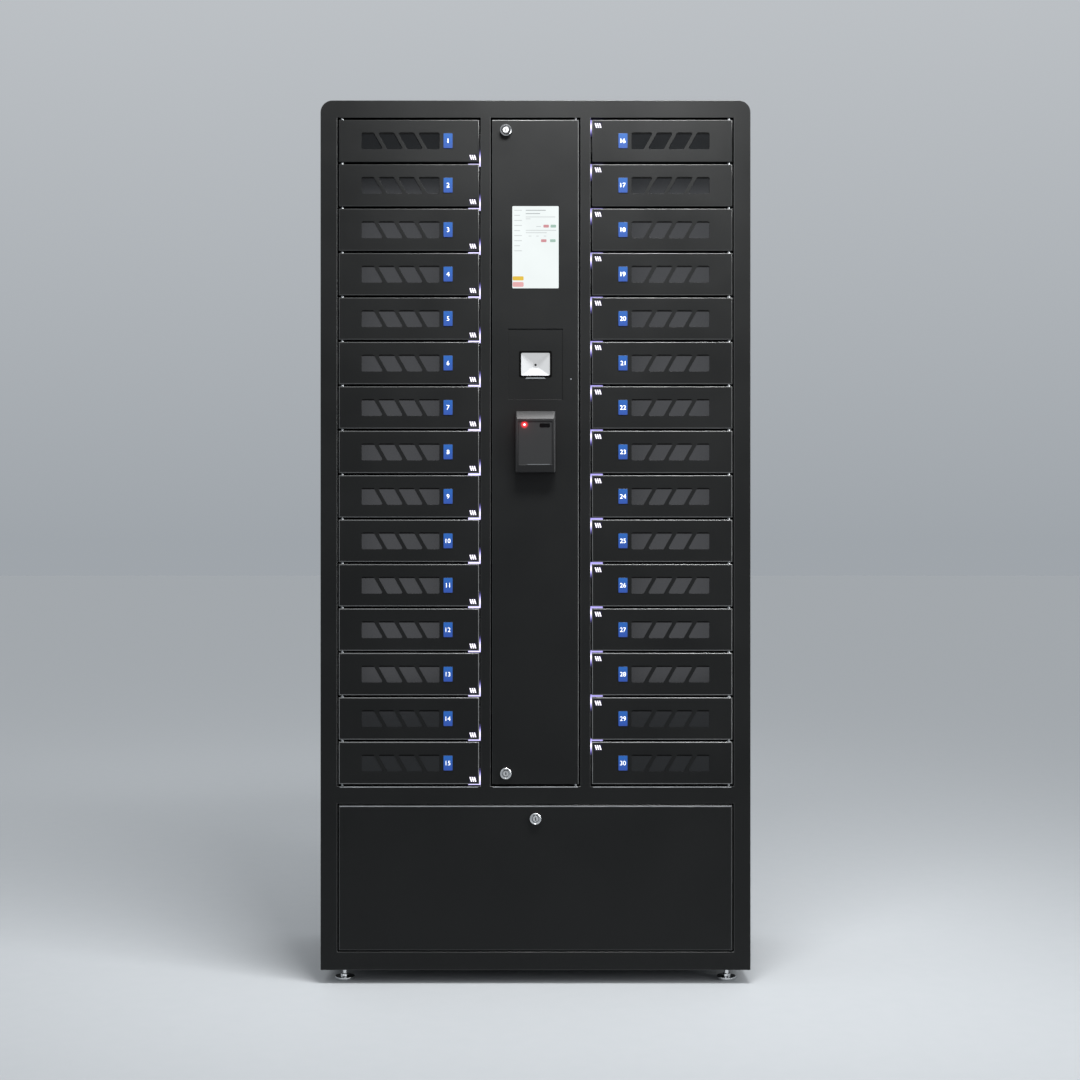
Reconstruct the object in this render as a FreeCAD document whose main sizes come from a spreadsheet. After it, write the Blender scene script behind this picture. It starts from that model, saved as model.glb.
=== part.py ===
"""Tablet locker: a steel cabinet with two columns of fifteen small charging compartments, a centre door
that carries the touch display, code scanner and card reader, and a drop-down service flap below.

Frame: millimetres, +Z up, the front faces -Y, the origin lies on the floor under the middle of the box.
Every sub-part is drawn with its front plane at Y = 0 and moved back to front_y as a last step.
"""

import FreeCAD, Part
import math
import os
import re
import Sketcher

DOOR_ROWS = 15
VENT_BARS = 3
SLOT_ROWS = 4
GRIP_SIDES = 24
THREAD_SIDES = 12
HEX_SIDES = 6
LEFT = -1
RIGHT = 1
SAME_PLACE = 1e-4

doc = FreeCAD.newDocument("tablet_locker")
sheet = doc.addObject("Spreadsheet::Sheet", "sizes")

# Driving dimensions in millimetres
DRIVING = {
    # cabinet box
    "body_width": 900,
    "body_depth": 450,
    "body_height": 1820,
    "foot_height": 30,
    "corner_radius": 25,
    "wrap_wall": 1.5,
    "back_wall": 1.2,
    "base_wall": 1.5,
    "deck_wall": 1.5,
    "inner_wall": 1.2,
    "rear_wall_at": 350,
    "weld_gap": 0.05,
    # face frame
    "frame_wall": 1.5,
    "return_depth": 20,
    "side_stile": 35,
    "inner_stile": 21,
    "centre_opening": 188,
    "top_rail": 36,
    "mid_rail": 36,
    "bottom_rail": 38,
    "flap_opening": 310.5,
    # compartment doors
    "door_gap": 4.5,
    "side_gap": 3,
    "door_depth": 18,
    "door_wall": 1.2,
    "pivot_inset": 7,
    "pivot_setback": 6,
    "rod_radius": 2.5,
    "rod_play": 0.05,
    "rod_reach": 3,
    "pin_reach": 10,
    # vent bank and smoked pane
    "vent_offset": 48,
    "vent_length": 163,
    "vent_height": 35,
    "vent_pitch": 42,
    "vent_bar": 8.6,
    "vent_lean": 20,
    "pane_wall": 2,
    "pane_margin": 5,
    # number plate
    "plate_offset": 219,
    "plate_width": 20,
    "plate_height": 32,
    "plate_wall": 0.8,
    # status window
    "led_edge": 5.5,
    "led_width": 15,
    "led_height": 12.5,
    "led_rim_low": 3.8,
    "led_rim_high": 5.5,
    "lens_wall": 1,
    "lens_margin": 1.2,
    # electric lock, its striker and its light guide
    "striker_edge": 8,
    "striker_wall": 2,
    "striker_height": 16,
    "striker_tip": 45,
    "lock_front": 25,
    "lock_depth": 60,
    "lock_height": 40,
    "lock_width": 25,
    "mouth_play": 0.8,
    "mouth_swing": 4,
    "mouth_depth": 24,
    "guide_width": 26,
    "guide_wall": 6,
    "guide_height": 34,
    "guide_overhang": 4,
    "guide_play": 0.5,
    # shelves
    "shelf_wall": 1.5,
    "shelf_front": 26,
    "shelf_lip": 10,
    "seat_play": 0.3,
    "fork_width": 15,
    "fork_nose": 2.5,
    "fork_play": 0.1,
    # charging sockets
    "socket_width": 42,
    "socket_height": 18,
    "socket_depth": 8,
    "socket_offset": 30,
    "socket_rise": 20,
    # centre door
    "centre_depth": 20,
    "centre_wall": 1.5,
    "display_drop": 307,
    "display_width": 98,
    "display_height": 173,
    "display_corner": 2,
    "display_lap": 6,
    "glass_wall": 3,
    "display_box": 18,
    "scanner_drop": 552,
    "recess_width": 114,
    "recess_height": 148,
    "recess_lap": 6,
    "scanner_wall": 1.5,
    "window_width": 66,
    "window_height": 54,
    "window_corner": 5,
    "funnel_width": 61,
    "funnel_height": 48,
    "funnel_corner": 4,
    "funnel_depth": 15,
    "funnel_floor": 10,
    "hood_depth": 24,
    "hood_lap": 4,
    "lens_radius": 4.5,
    "reader_drop": 715,
    "reader_width": 84,
    "reader_height": 128,
    "reader_depth": 24,
    "reader_brow": 17,
    "reader_crown": 7,
    "reader_corner": 4,
    "reader_panel_width": 69,
    "reader_panel_height": 90,
    "reader_panel_low": 15,
    "reader_recess": 1,
    "reader_led_offset": 23,
    "reader_led_rise": 99,
    "reader_led_radius": 2,
    "reader_led_out": 1,
    # cam locks
    "cam_lock_inset": 29,
    "cam_lock_drop": 23,
    "flap_lock_drop": 28,
    "barrel_radius": 9.5,
    "barrel_play": 0.1,
    "head_radius": 12,
    "head_reach": 7,
    "plug_radius": 6,
    "plug_play": 0.05,
    "plug_proud": 0.5,
    "cam_plane": 24,
    "cam_wall": 2.5,
    "cam_width": 14,
    "cam_length": 37,
    "key_width": 2,
    "key_height": 8,
    "key_depth": 5,
    # service flap
    "flap_depth": 18,
    "flap_wall": 1.2,
    # levelling feet
    "foot_inset": 46,
    "foot_radius": 21,
    "pad_height": 7,
    "pad_neck": 12,
    "neck_radius": 9,
    "stud_radius": 5,
    "stud_play": 0.05,
    "stud_height": 34,
    "nut_radius": 10,
    "nut_height": 9,
    # back panel
    "slot_length": 150,
    "slot_height": 8,
    "slot_pitch": 22,
    "slot_drop": 140,
    "slot_spread": 250,
    "anchor_radius": 4.5,
    "anchor_spread": 600,
    "anchor_drop": 80,
    "gland_radius": 10,
    "gland_flange": 15,
    "gland_flange_wall": 5,
    "gland_out": 14,
    "gland_in": 12,
    "gland_bore": 4.5,
    "gland_play": 0.1,
    "gland_edge": 120,
    "gland_rise": 90,
    # deck cable cut-outs and electronics
    "duct_cut_width": 120,
    "duct_cut_depth": 50,
    "duct_cut_setback": 20,
    "duct_cut_offset": 275,
    "supply_width": 215,
    "supply_depth": 115,
    "supply_height": 50,
    "supply_pitch": 240,
    "supply_setback": 150,
    "controller_width": 150,
    "controller_depth": 55,
    "controller_height": 230,
    "controller_rise": 700,
}

# Dimensions that follow from the driving ones
DERIVED = {
    "front_y": "(reader_depth - body_depth - gland_out) / 2",
    "half_width": "body_width / 2",
    "inside_x": "half_width - wrap_wall",
    "body_top": "foot_height + body_height",
    "column_width": "half_width - side_stile - inner_stile - centre_opening / 2",
    "column_outer": "half_width - side_stile",
    "column_inner": "centre_opening / 2 + inner_stile",
    "column_height": "body_height - top_rail - mid_rail - bottom_rail - flap_opening",
    "door_height": f"(column_height - door_gap) / {DOOR_ROWS} - door_gap",
    "column_top": "body_top - top_rail",
    "column_base": "column_top - column_height",
    "flap_top": "column_base - mid_rail",
    "flap_base": "foot_height + bottom_rail",
    "door_width": "column_width - 2 * side_gap",
    "door_pitch": "door_height + door_gap",
    "pivot_x": "column_outer - side_gap - pivot_inset",
    "rod_hole": "rod_radius + rod_play",
    "hole_corner": f"rod_hole / cos(180 / {HEX_SIDES})",
    "wall_x": "centre_opening / 2 + inner_stile / 2",
    "wall_face": "wall_x + inner_wall / 2",
    "deck_top": "(column_base + flap_top) / 2",
    "lower_floor": "foot_height + base_wall",
    "back_face": "body_depth - back_wall",
    "ceiling": "body_top - wrap_wall",
    "centre_width": "centre_opening - 2 * side_gap",
    "centre_height": "column_height - 2 * door_gap",
    "centre_pivot_x": "centre_width / 2 - pivot_inset",
    "flap_width": "body_width - 2 * side_stile - 2 * side_gap",
    "foot_x": "half_width - foot_inset",
    "gland_x": "half_width - gland_edge",
    "lock_hole": "barrel_radius + barrel_play",
    "nut_bore": f"(stud_radius + stud_play) / cos(180 / {THREAD_SIDES})",
}


def fill_sheet():
    """Write the driving numbers and the formulas that follow from them, one named cell each."""
    for row, (name, value) in enumerate(DRIVING.items(), 1):
        sheet.set(f"A{row}", str(value))
        sheet.setAlias(f"A{row}", name)
    for row, (name, formula) in enumerate(DERIVED.items(), 1):
        sheet.set(f"B{row}", "=" + formula)
        sheet.setAlias(f"B{row}", name)
    doc.recompute()


def bind(text):
    """Turn a formula in plain size names into an expression on the sheet."""
    return re.sub(r"[a-z_]\w*", lambda word: "sizes." + word.group(), text)


def number(text):
    """Present value of a formula in size names."""
    return float(sheet.evalExpression(bind(text)))


def place(item, x="0", y="0", z="0"):
    """Bind the position of an object to formulas."""
    for axis, formula in (("x", x), ("y", y), ("z", z)):
        item.setExpression(f".Placement.Base.{axis}", bind(formula))
    return item


# Sketches and features of a body
def new_body(name):
    return doc.addObject("PartDesign::Body", name)


def sketch_on(body, role, offset="0"):
    """New sketch on one of the body's own origin planes, shifted along that plane's normal."""
    sketch = body.newObject("Sketcher::SketchObject", body.Name + "_sketch")
    plane = [item for item in body.Origin.OriginFeatures if item.Role == role][0]
    sketch.AttachmentSupport = [(plane, "")]
    sketch.MapMode = "FlatFace"
    sketch.setExpression(".AttachmentOffset.Base.z", bind(offset))
    return sketch


def hold_point(sketch, geometry, position, u, v):
    """Tie a point of the sketch to two formulas measured from the sketch origin."""
    for kind, formula in (("DistanceX", u), ("DistanceY", v)):
        rule = Sketcher.Constraint(kind, -1, 1, geometry, position, number(formula))
        sketch.setExpression(f"Constraints[{sketch.addConstraint(rule)}]", bind(formula))


def outline(sketch, corners):
    """Closed straight-sided outline whose corners are pairs of formulas."""
    first = sketch.GeometryCount
    spots = [FreeCAD.Vector(number(u), number(v), 0) for u, v in corners]
    count = len(spots)
    for i in range(count):
        sketch.addGeometry(Part.LineSegment(spots[i], spots[(i + 1) % count]))
    for i in range(count):
        joined = Sketcher.Constraint("Coincident", first + i, 2, first + (i + 1) % count, 1)
        sketch.addConstraint(joined)
    for i, (u, v) in enumerate(corners):
        hold_point(sketch, first + i, 1, u, v)


def rectangle(sketch, left, low, right, high):
    outline(sketch, [(left, low), (right, low), (right, high), (left, high)])


def circle(sketch, u, v, radius):
    centre = FreeCAD.Vector(number(u), number(v), 0)
    ring = sketch.addGeometry(Part.Circle(centre, FreeCAD.Vector(0, 0, 1), number(radius)))
    hold_point(sketch, ring, 3, u, v)
    rule = Sketcher.Constraint("Radius", ring, number(radius))
    sketch.setExpression(f"Constraints[{sketch.addConstraint(rule)}]", bind(radius))


def polygon(sketch, u, v, radius, sides):
    """Regular outline with its corners at a radius from a centre, for threads, nuts and punched holes."""
    corners = []
    for i in range(sides):
        angle = 2 * math.pi * i / sides
        corners.append((f"{u} + {math.cos(angle):.9f} * {radius}", f"{v} + {math.sin(angle):.9f} * {radius}"))
    outline(sketch, corners)


def pad(body, sketch, length, backward=False):
    feature = body.newObject("PartDesign::Pad", body.Name + "_pad")
    feature.Profile = sketch
    feature.Reversed = backward
    feature.setExpression("Length", bind(length))
    doc.recompute()
    return feature


def pocket(body, sketch, length, backward=False):
    """Cut a sketch into the body, and stop if it removes nothing."""
    before = body.Shape.Volume
    feature = body.newObject("PartDesign::Pocket", body.Name + "_pocket")
    feature.Profile = sketch
    feature.Reversed = backward
    feature.setExpression("Length", bind(length))
    doc.recompute()
    if body.Shape.Volume >= before:
        raise ValueError(f"{feature.Name} cuts nothing")
    return feature


def fillet(body, radius, chosen):
    """Round the edges of the body that the test picks."""
    tip = body.Tip
    names = [f"Edge{i}" for i, edge in enumerate(tip.Shape.Edges, 1) if chosen(edge)]
    feature = body.newObject("PartDesign::Fillet", body.Name + "_fillet")
    feature.Base = (tip, names)
    feature.setExpression("Radius", bind(radius))
    doc.recompute()
    return feature


def runs_along(edge, direction):
    """True for a straight edge parallel to the given direction."""
    if edge.Curve.TypeId != "Part::GeomLine":
        return False
    return edge.tangentAt(edge.FirstParameter).cross(direction).Length < SAME_PLACE


def window_corners(width, height, middle):
    """Test for the front-to-back edges at the four corners of a window centred on a height."""
    depthwise = FreeCAD.Vector(0, 1, 0)
    half_width = number(width) / 2
    half_height = number(height) / 2
    level = number(middle)

    def at_corner(edge):
        spot = edge.CenterOfMass
        beside = abs(abs(spot.x) - half_width) < SAME_PLACE
        above = abs(abs(spot.z - level) - half_height) < SAME_PLACE
        return runs_along(edge, depthwise) and beside and above

    return at_corner


def depthwise_at(height):
    """Test for edges that run front to back at a height."""
    level = number(height)
    depthwise = FreeCAD.Vector(0, 1, 0)
    return lambda edge: runs_along(edge, depthwise) and abs(edge.CenterOfMass.z - level) < SAME_PLACE


# Plain blocks, cylinders, copies and groups
def block(name, x, y, z, length, width, height):
    """Box with its low corner and its three sizes given as formulas."""
    box = doc.addObject("Part::Box", name)
    for side, formula in (("Length", length), ("Width", width), ("Height", height)):
        box.setExpression(side, bind(formula))
    return place(box, x, y, z)


def rod(name, x, y, z, radius, length, axis=FreeCAD.Vector(0, 0, 1)):
    """Cylinder from a base point along an axis."""
    bar = doc.addObject("Part::Cylinder", name)
    bar.setExpression("Radius", bind(radius))
    bar.setExpression("Height", bind(length))
    bar.Placement.Rotation = FreeCAD.Rotation(FreeCAD.Vector(0, 0, 1), axis)
    return place(bar, x, y, z)


def group(name, members, x="0", y="0", z="0"):
    """Separate solids kept together as one object, which can be moved as a whole."""
    bundle = doc.addObject("Part::Compound", name)
    bundle.Links = members
    return place(bundle, x, y, z)


def sub_part(name, members, x="0", z="0"):
    """Finished sub-part: its solids, moved so that the front plane lies at front_y."""
    return group(name, members, x, "front_y", z)


# Cabinet shell
def outer_wrap():
    """Sides and top folded from one sheet, with two large bends at the top."""
    body = new_body("wrap_sheet")
    profile = sketch_on(body, "XZ_Plane")
    outline(profile, [
        ("-half_width", "foot_height"),
        ("-inside_x", "foot_height"),
        ("-inside_x", "ceiling"),
        ("inside_x", "ceiling"),
        ("inside_x", "foot_height"),
        ("half_width", "foot_height"),
        ("half_width", "body_top"),
        ("-half_width", "body_top"),
    ])
    pad(body, profile, "body_depth - frame_wall", backward=True)
    fillet(body, "corner_radius", depthwise_at("body_top"))
    fillet(body, "corner_radius - wrap_wall", depthwise_at("ceiling"))
    place(body, y="frame_wall")
    return sub_part("outer_wrap", [body])


def frame_openings():
    """Left, right, low and high edge of the four openings in the face frame."""
    return [
        ("-column_outer", "-column_inner", "column_base", "column_top"),
        ("-centre_opening / 2", "centre_opening / 2", "column_base", "column_top"),
        ("column_inner", "column_outer", "column_base", "column_top"),
        ("-column_outer", "column_outer", "flap_base", "flap_top"),
    ]


def front_frame():
    """Face sheet with four openings, each edged by a return flange, and the pivot holes in the flanges."""
    body = new_body("frame_sheet")
    face = sketch_on(body, "XZ_Plane")
    rectangle(face, "-half_width", "foot_height", "half_width", "body_top")
    for left, right, low, high in frame_openings():
        rectangle(face, left, low, right, high)
    pad(body, face, "frame_wall", backward=True)
    fillet(body, "corner_radius", depthwise_at("body_top"))
    returns = sketch_on(body, "XZ_Plane")
    for left, right, low, high in frame_openings():
        rectangle(returns, left, low, right, high)
        rectangle(
            returns,
            f"{left} - frame_wall",
            f"{low} - frame_wall",
            f"{right} + frame_wall",
            f"{high} + frame_wall",
        )
    pad(body, returns, "return_depth", backward=True)
    pivots = sketch_on(body, "XY_Plane", "column_base - 2 * frame_wall")
    for x in ("-pivot_x", "centre_pivot_x", "pivot_x"):
        polygon(pivots, x, "pivot_setback", "hole_corner", HEX_SIDES)
    pocket(body, pivots, "column_height + 4 * frame_wall", backward=True)
    flap_pivot = sketch_on(body, "YZ_Plane", "-column_outer - 2 * frame_wall")
    polygon(flap_pivot, "pivot_setback", "flap_base + side_gap + pivot_inset", "hole_corner", HEX_SIDES)
    pocket(body, flap_pivot, "2 * column_outer + 4 * frame_wall", backward=True)
    return sub_part("front_frame", [body])


def back_panel():
    """Rear sheet inside the wrap with two banks of vent slots, wall-anchor holes and the gland hole."""
    body = new_body("back_sheet")
    face = sketch_on(body, "XZ_Plane")
    rectangle(
        face,
        "-inside_x + weld_gap",
        "foot_height",
        "inside_x - weld_gap",
        "ceiling",
    )
    for side in ("-1", "1"):
        middle = f"{side} * slot_spread"
        start = f"{middle} - slot_length / 2"
        end = f"{middle} + slot_length / 2"
        for row in range(SLOT_ROWS):
            low = f"body_top - slot_drop - {row} * slot_pitch"
            rectangle(face, start, low, end, f"{low} + slot_height")
        circle(face, f"{side} * anchor_spread / 2", "body_top - anchor_drop", "anchor_radius")
    circle(face, "gland_x", "foot_height + gland_rise", "gland_radius + gland_play")
    pad(body, face, "back_wall", backward=True)
    fillet(body, "corner_radius", depthwise_at("ceiling"))
    place(body, y="back_face")
    return sub_part("back_panel", [body])


def foot_places():
    """The four foot positions, seen from above."""
    return [
        (x, y)
        for y in ("foot_inset", "body_depth - foot_inset")
        for x in ("-foot_x", "foot_x")
    ]


def base_panel():
    """Bottom sheet with a welded nut over each foot."""
    body = new_body("base_sheet")
    floor = sketch_on(body, "XY_Plane", "foot_height")
    rectangle(floor, "-inside_x + weld_gap", "frame_wall", "inside_x - weld_gap", "back_face")
    pad(body, floor, "base_wall")
    nuts = sketch_on(body, "XY_Plane", "foot_height")
    for x, y in foot_places():
        rectangle(nuts, f"{x} - nut_radius", f"{y} - nut_radius", f"{x} + nut_radius", f"{y} + nut_radius")
    pad(body, nuts, "base_wall + nut_height")
    holes = sketch_on(body, "XY_Plane", "foot_height")
    for x, y in foot_places():
        polygon(holes, x, y, "nut_bore", THREAD_SIDES)
    pocket(body, holes, "base_wall + nut_height", backward=True)
    return sub_part("base_panel", [body])


def deck_panel():
    """Sheet between the compartments and the lower bay, with two cable cut-outs into the rear duct."""
    body = new_body("deck_sheet")
    plan = sketch_on(body, "XY_Plane", "deck_top - deck_wall")
    rectangle(plan, "-inside_x + weld_gap", "frame_wall", "inside_x - weld_gap", "back_face")
    for side in ("-1", "1"):
        middle = f"{side} * duct_cut_offset"
        rear = "back_face - duct_cut_setback"
        rectangle(
            plan,
            f"{middle} - duct_cut_width / 2",
            f"{rear} - duct_cut_depth",
            f"{middle} + duct_cut_width / 2",
            rear,
        )
    pad(body, plan, "deck_wall")
    return sub_part("deck_panel", [body])


def rear_wall(name, start, end):
    """Rear wall of a column, rounded where it meets the bend of the wrap."""
    body = new_body(name)
    face = sketch_on(body, "XZ_Plane", "-rear_wall_at")
    rectangle(face, start, "deck_top", end, "ceiling")
    pad(body, face, "inner_wall", backward=True)
    outermost = number("wall_face") + number("corner_radius")
    at_ceiling = depthwise_at("ceiling")
    fillet(body, "corner_radius", lambda edge: at_ceiling(edge) and abs(edge.CenterOfMass.x) > outermost)
    return body


def inner_walls():
    """Two partitions beside the centre bay and the rear wall of each column."""
    walls = []
    for name, x in (("left_partition", "-wall_x"), ("right_partition", "wall_x")):
        partition = block(
            name,
            f"{x} - inner_wall / 2",
            "frame_wall",
            "deck_top",
            "inner_wall",
            "back_face - frame_wall",
            "ceiling - deck_top",
        )
        walls.append(partition)
    walls.append(rear_wall("left_rear_wall", "-inside_x + weld_gap", "-wall_face"))
    walls.append(rear_wall("right_rear_wall", "wall_face", "inside_x - weld_gap"))
    return sub_part("inner_walls", walls)


# Compartments: everything in one column, drawn from the hinge edge towards the partition
def row_base(row):
    """Height of the lower edge of the door in a row counted from the top."""
    return f"column_top - {row + 1} * door_pitch"


def hinge_edge(side):
    """Place of a column's hinge-side door edge."""
    return f"{side} * (column_outer - side_gap)"


def across(side, distance):
    """Place at a distance from the hinge edge, measured along the door."""
    return f"{-side} * ({distance})"


def shelf(side, name):
    """Shelf plate with the forked tab that straddles the hinge rod under a door, and its front rail."""
    body = new_body(name)
    reach = "column_outer - side_gap - wall_face"
    outer = "-(inside_x - column_outer + side_gap - weld_gap)"
    fork_start = "pivot_inset - fork_width / 2"
    fork_end = "pivot_inset + fork_width / 2"
    notch = "rod_radius + fork_play"
    plan = sketch_on(body, "XY_Plane")
    corners = [
        (outer, "rear_wall_at"),
        (outer, "shelf_front"),
        (fork_start, "shelf_front"),
        (fork_start, "fork_nose"),
        (f"pivot_inset - ({notch})", "fork_nose"),
        (f"pivot_inset - ({notch})", f"pivot_setback + {notch}"),
        (f"pivot_inset + {notch}", f"pivot_setback + {notch}"),
        (f"pivot_inset + {notch}", "fork_nose"),
        (fork_end, "fork_nose"),
        (fork_end, "shelf_front"),
        (reach, "shelf_front"),
        (reach, "rear_wall_at"),
    ]
    outline(plan, [(across(side, u), v) for u, v in corners])
    pad(body, plan, "shelf_wall")
    rail = new_body(f"{name}_rail")
    edge = sketch_on(rail, "XY_Plane")
    rectangle(edge, across(side, outer), "shelf_front", across(side, reach), "shelf_front + shelf_wall")
    pad(rail, edge, "shelf_lip", backward=True)
    return [body, rail]


def shelves():
    """One shelf under every compartment."""
    copies = []
    for side, name in ((LEFT, "left_shelf"), (RIGHT, "right_shelf")):
        pieces = shelf(side, name)
        for row in range(DOOR_ROWS):
            height = f"{row_base(row)} - seat_play - shelf_wall"
            copies.append(group(f"{name}_{row + 1}", pieces, hinge_edge(side), "0", height))
    return sub_part("shelves", copies)


def charging_sockets():
    """Twin charging outlet low on the rear wall of every compartment."""
    master = block(
        "socket_case",
        "-socket_width / 2",
        "rear_wall_at - socket_depth",
        "socket_rise",
        "socket_width",
        "socket_depth",
        "socket_height",
    )
    copies = []
    for side in (LEFT, RIGHT):
        middle = f"{side} * (wall_face + socket_offset + socket_width / 2)"
        for row in range(DOOR_ROWS):
            copies.append(group("socket", [master], middle, "0", row_base(row)))
    return sub_part("charging_sockets", copies)


def hinge_rods():
    """A full-height hinge rod for each column, and the short pins of the centre door and the flap."""
    length = "column_height + 2 * frame_wall + 2 * rod_reach"
    low = "column_base - frame_wall - rod_reach"
    pins = []
    for name, x in (("left_rod", "-pivot_x"), ("right_rod", "pivot_x")):
        pins.append(rod(name, x, "pivot_setback", low, "rod_radius", length))
    pin_length = "rod_reach + frame_wall + door_gap + pin_reach"
    for name, z in (("centre_low_pin", low), ("centre_high_pin", "column_top - door_gap - pin_reach")):
        pins.append(rod(name, "centre_pivot_x", "pivot_setback", z, "rod_radius", pin_length))
    flap_pin = "rod_reach + frame_wall + side_gap + pin_reach"
    flap_pivot = "flap_base + side_gap + pivot_inset"
    sideways = FreeCAD.Vector(1, 0, 0)
    for name, x in (
        ("flap_left_pin", "-column_outer - frame_wall - rod_reach"),
        ("flap_right_pin", "column_outer - side_gap - pin_reach"),
    ):
        pins.append(rod(name, x, "pivot_setback", flap_pivot, "rod_radius", flap_pin, sideways))
    return sub_part("hinge_rods", pins)


def door_locks():
    """Electric lock case on the partition of every compartment, with a mouth for the striker."""
    copies = []
    for side, name in ((LEFT, "left_lock"), (RIGHT, "right_lock")):
        reach = "column_outer - side_gap - wall_face"
        case_start = f"{reach} - lock_width"
        mouth_start = "door_width - striker_edge - mouth_play"
        mouth_width = "striker_wall + mouth_play + mouth_swing"
        low = "door_height / 2 - lock_height / 2"
        mouth_low = "door_height / 2 - striker_height / 2 - mouth_play"
        body = new_body(name)
        front = sketch_on(body, "XZ_Plane", "-lock_front")
        rectangle(front, across(side, case_start), low, across(side, reach), f"{low} + lock_height")
        pad(body, front, "lock_depth", backward=True)
        mouth = sketch_on(body, "XZ_Plane", "-lock_front")
        rectangle(
            mouth,
            across(side, mouth_start),
            mouth_low,
            across(side, f"{mouth_start} + {mouth_width}"),
            f"{mouth_low} + striker_height + 2 * mouth_play",
        )
        pocket(body, mouth, "mouth_depth")
        for row in range(DOOR_ROWS):
            copies.append(group(f"{name}_{row + 1}", [body], hinge_edge(side), "0", row_base(row)))
    return sub_part("door_locks", copies)


def led_light_guides():
    """Clear block on the front of each lock that lights the status window and the gaps beside it."""
    reach = "column_width - side_gap - guide_play"
    copies = []
    for side, name, low in (
        (LEFT, "left_guide", "-guide_overhang"),
        (RIGHT, "right_guide", "door_height + guide_overhang - guide_height"),
    ):
        start = f"{reach} - guide_width" if side == LEFT else reach
        master = block(
            name,
            across(side, start),
            "lock_front - guide_wall",
            low,
            "guide_width",
            "guide_wall",
            "guide_height",
        )
        for row in range(DOOR_ROWS):
            copies.append(group(f"{name}_{row + 1}", [master], hinge_edge(side), "0", row_base(row)))
    return sub_part("led_light_guides", copies)


def vent_slots(side):
    """Corners of the leaning slots, counted from the hinge edge; the outer two end upright."""
    low = "door_height / 2 - vent_height / 2"
    high = "door_height / 2 + vent_height / 2"
    middle = "vent_offset + vent_length / 2"
    slots = []
    for i in range(VENT_BARS + 1):
        before = f"{middle} + ({i} - {VENT_BARS + 1} / 2) * vent_pitch + vent_bar / 2"
        after = f"{middle} + ({i + 1} - {VENT_BARS + 1} / 2) * vent_pitch - vent_bar / 2"
        low_start = f"{before} + vent_lean / 2" if i else "vent_offset"
        high_start = f"{before} - vent_lean / 2" if i else "vent_offset"
        low_end = f"{after} + vent_lean / 2" if i < VENT_BARS else "vent_offset + vent_length"
        high_end = f"{after} - vent_lean / 2" if i < VENT_BARS else "vent_offset + vent_length"
        corners = [(low_start, low), (low_end, low), (high_end, high), (high_start, high)]
        slots.append([(across(side, u), v) for u, v in corners])
    return slots


def led_window(side):
    """Low and high edge of the status window: bottom corner on the left doors, top corner on the right."""
    if side == LEFT:
        return "led_rim_low", "led_rim_low + led_height"
    return "door_height - led_rim_high - led_height", "door_height - led_rim_high"


def door_tray(side, name):
    """Folded door: skin, four flanges, vent slots, status window and the pivot holes."""
    body = new_body(name)
    skin = sketch_on(body, "XZ_Plane")
    rectangle(skin, "0", "0", across(side, "door_width"), "door_height")
    for corners in vent_slots(side):
        outline(skin, corners)
    low, high = led_window(side)
    window_end = "door_width - led_edge"
    rectangle(skin, across(side, f"{window_end} - led_width"), low, across(side, window_end), high)
    pad(body, skin, "door_wall", backward=True)
    flanges = sketch_on(body, "XZ_Plane")
    rectangle(flanges, "0", "0", across(side, "door_width"), "door_height")
    rectangle(
        flanges,
        across(side, "door_wall"),
        "door_wall",
        across(side, "door_width - door_wall"),
        "door_height - door_wall",
    )
    pad(body, flanges, "door_depth", backward=True)
    pivot = sketch_on(body, "XY_Plane")
    polygon(pivot, across(side, "pivot_inset"), "pivot_setback", "hole_corner", HEX_SIDES)
    pocket(body, pivot, "door_height", backward=True)
    return body


def door_fittings(side, name):
    """What a door carries: smoked pane, number plate, status lens and striker."""
    def spread(label, start, length, y, z, width, height):
        x = across(side, f"{start} + {length}") if side == RIGHT else across(side, start)
        return block(f"{name}_{label}", x, y, z, length, width, height)

    low, high = led_window(side)
    pane = spread(
        "pane",
        "vent_offset - pane_margin",
        "vent_length + 2 * pane_margin",
        "door_wall",
        "door_height / 2 - vent_height / 2 - pane_margin",
        "pane_wall",
        "vent_height + 2 * pane_margin",
    )
    plate = spread(
        "number_plate",
        "plate_offset",
        "plate_width",
        "-plate_wall",
        "door_height / 2 - plate_height / 2",
        "plate_wall",
        "plate_height",
    )
    lens = spread(
        "status_lens",
        "door_width - led_edge - led_width - lens_margin",
        "led_width + 2 * lens_margin",
        "door_wall",
        f"{low} - lens_margin",
        "lens_wall",
        f"({high}) - ({low}) + 2 * lens_margin",
    )
    striker = spread(
        "striker",
        "door_width - striker_edge",
        "striker_wall",
        "door_wall",
        "door_height / 2 - striker_height / 2",
        "striker_tip - door_wall",
        "striker_height",
    )
    return [pane, plate, lens, striker]


def compartment_doors():
    """Thirty doors, numbered down the left column and then down the right one."""
    doors = []
    for side, name in ((LEFT, "left_door"), (RIGHT, "right_door")):
        pieces = [door_tray(side, name)] + door_fittings(side, name)
        for row in range(DOOR_ROWS):
            place_number = row + 1 if side == LEFT else row + 1 + DOOR_ROWS
            doors.append(sub_part(f"door_{place_number:02d}", pieces, hinge_edge(side), row_base(row)))
    return doors


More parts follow.
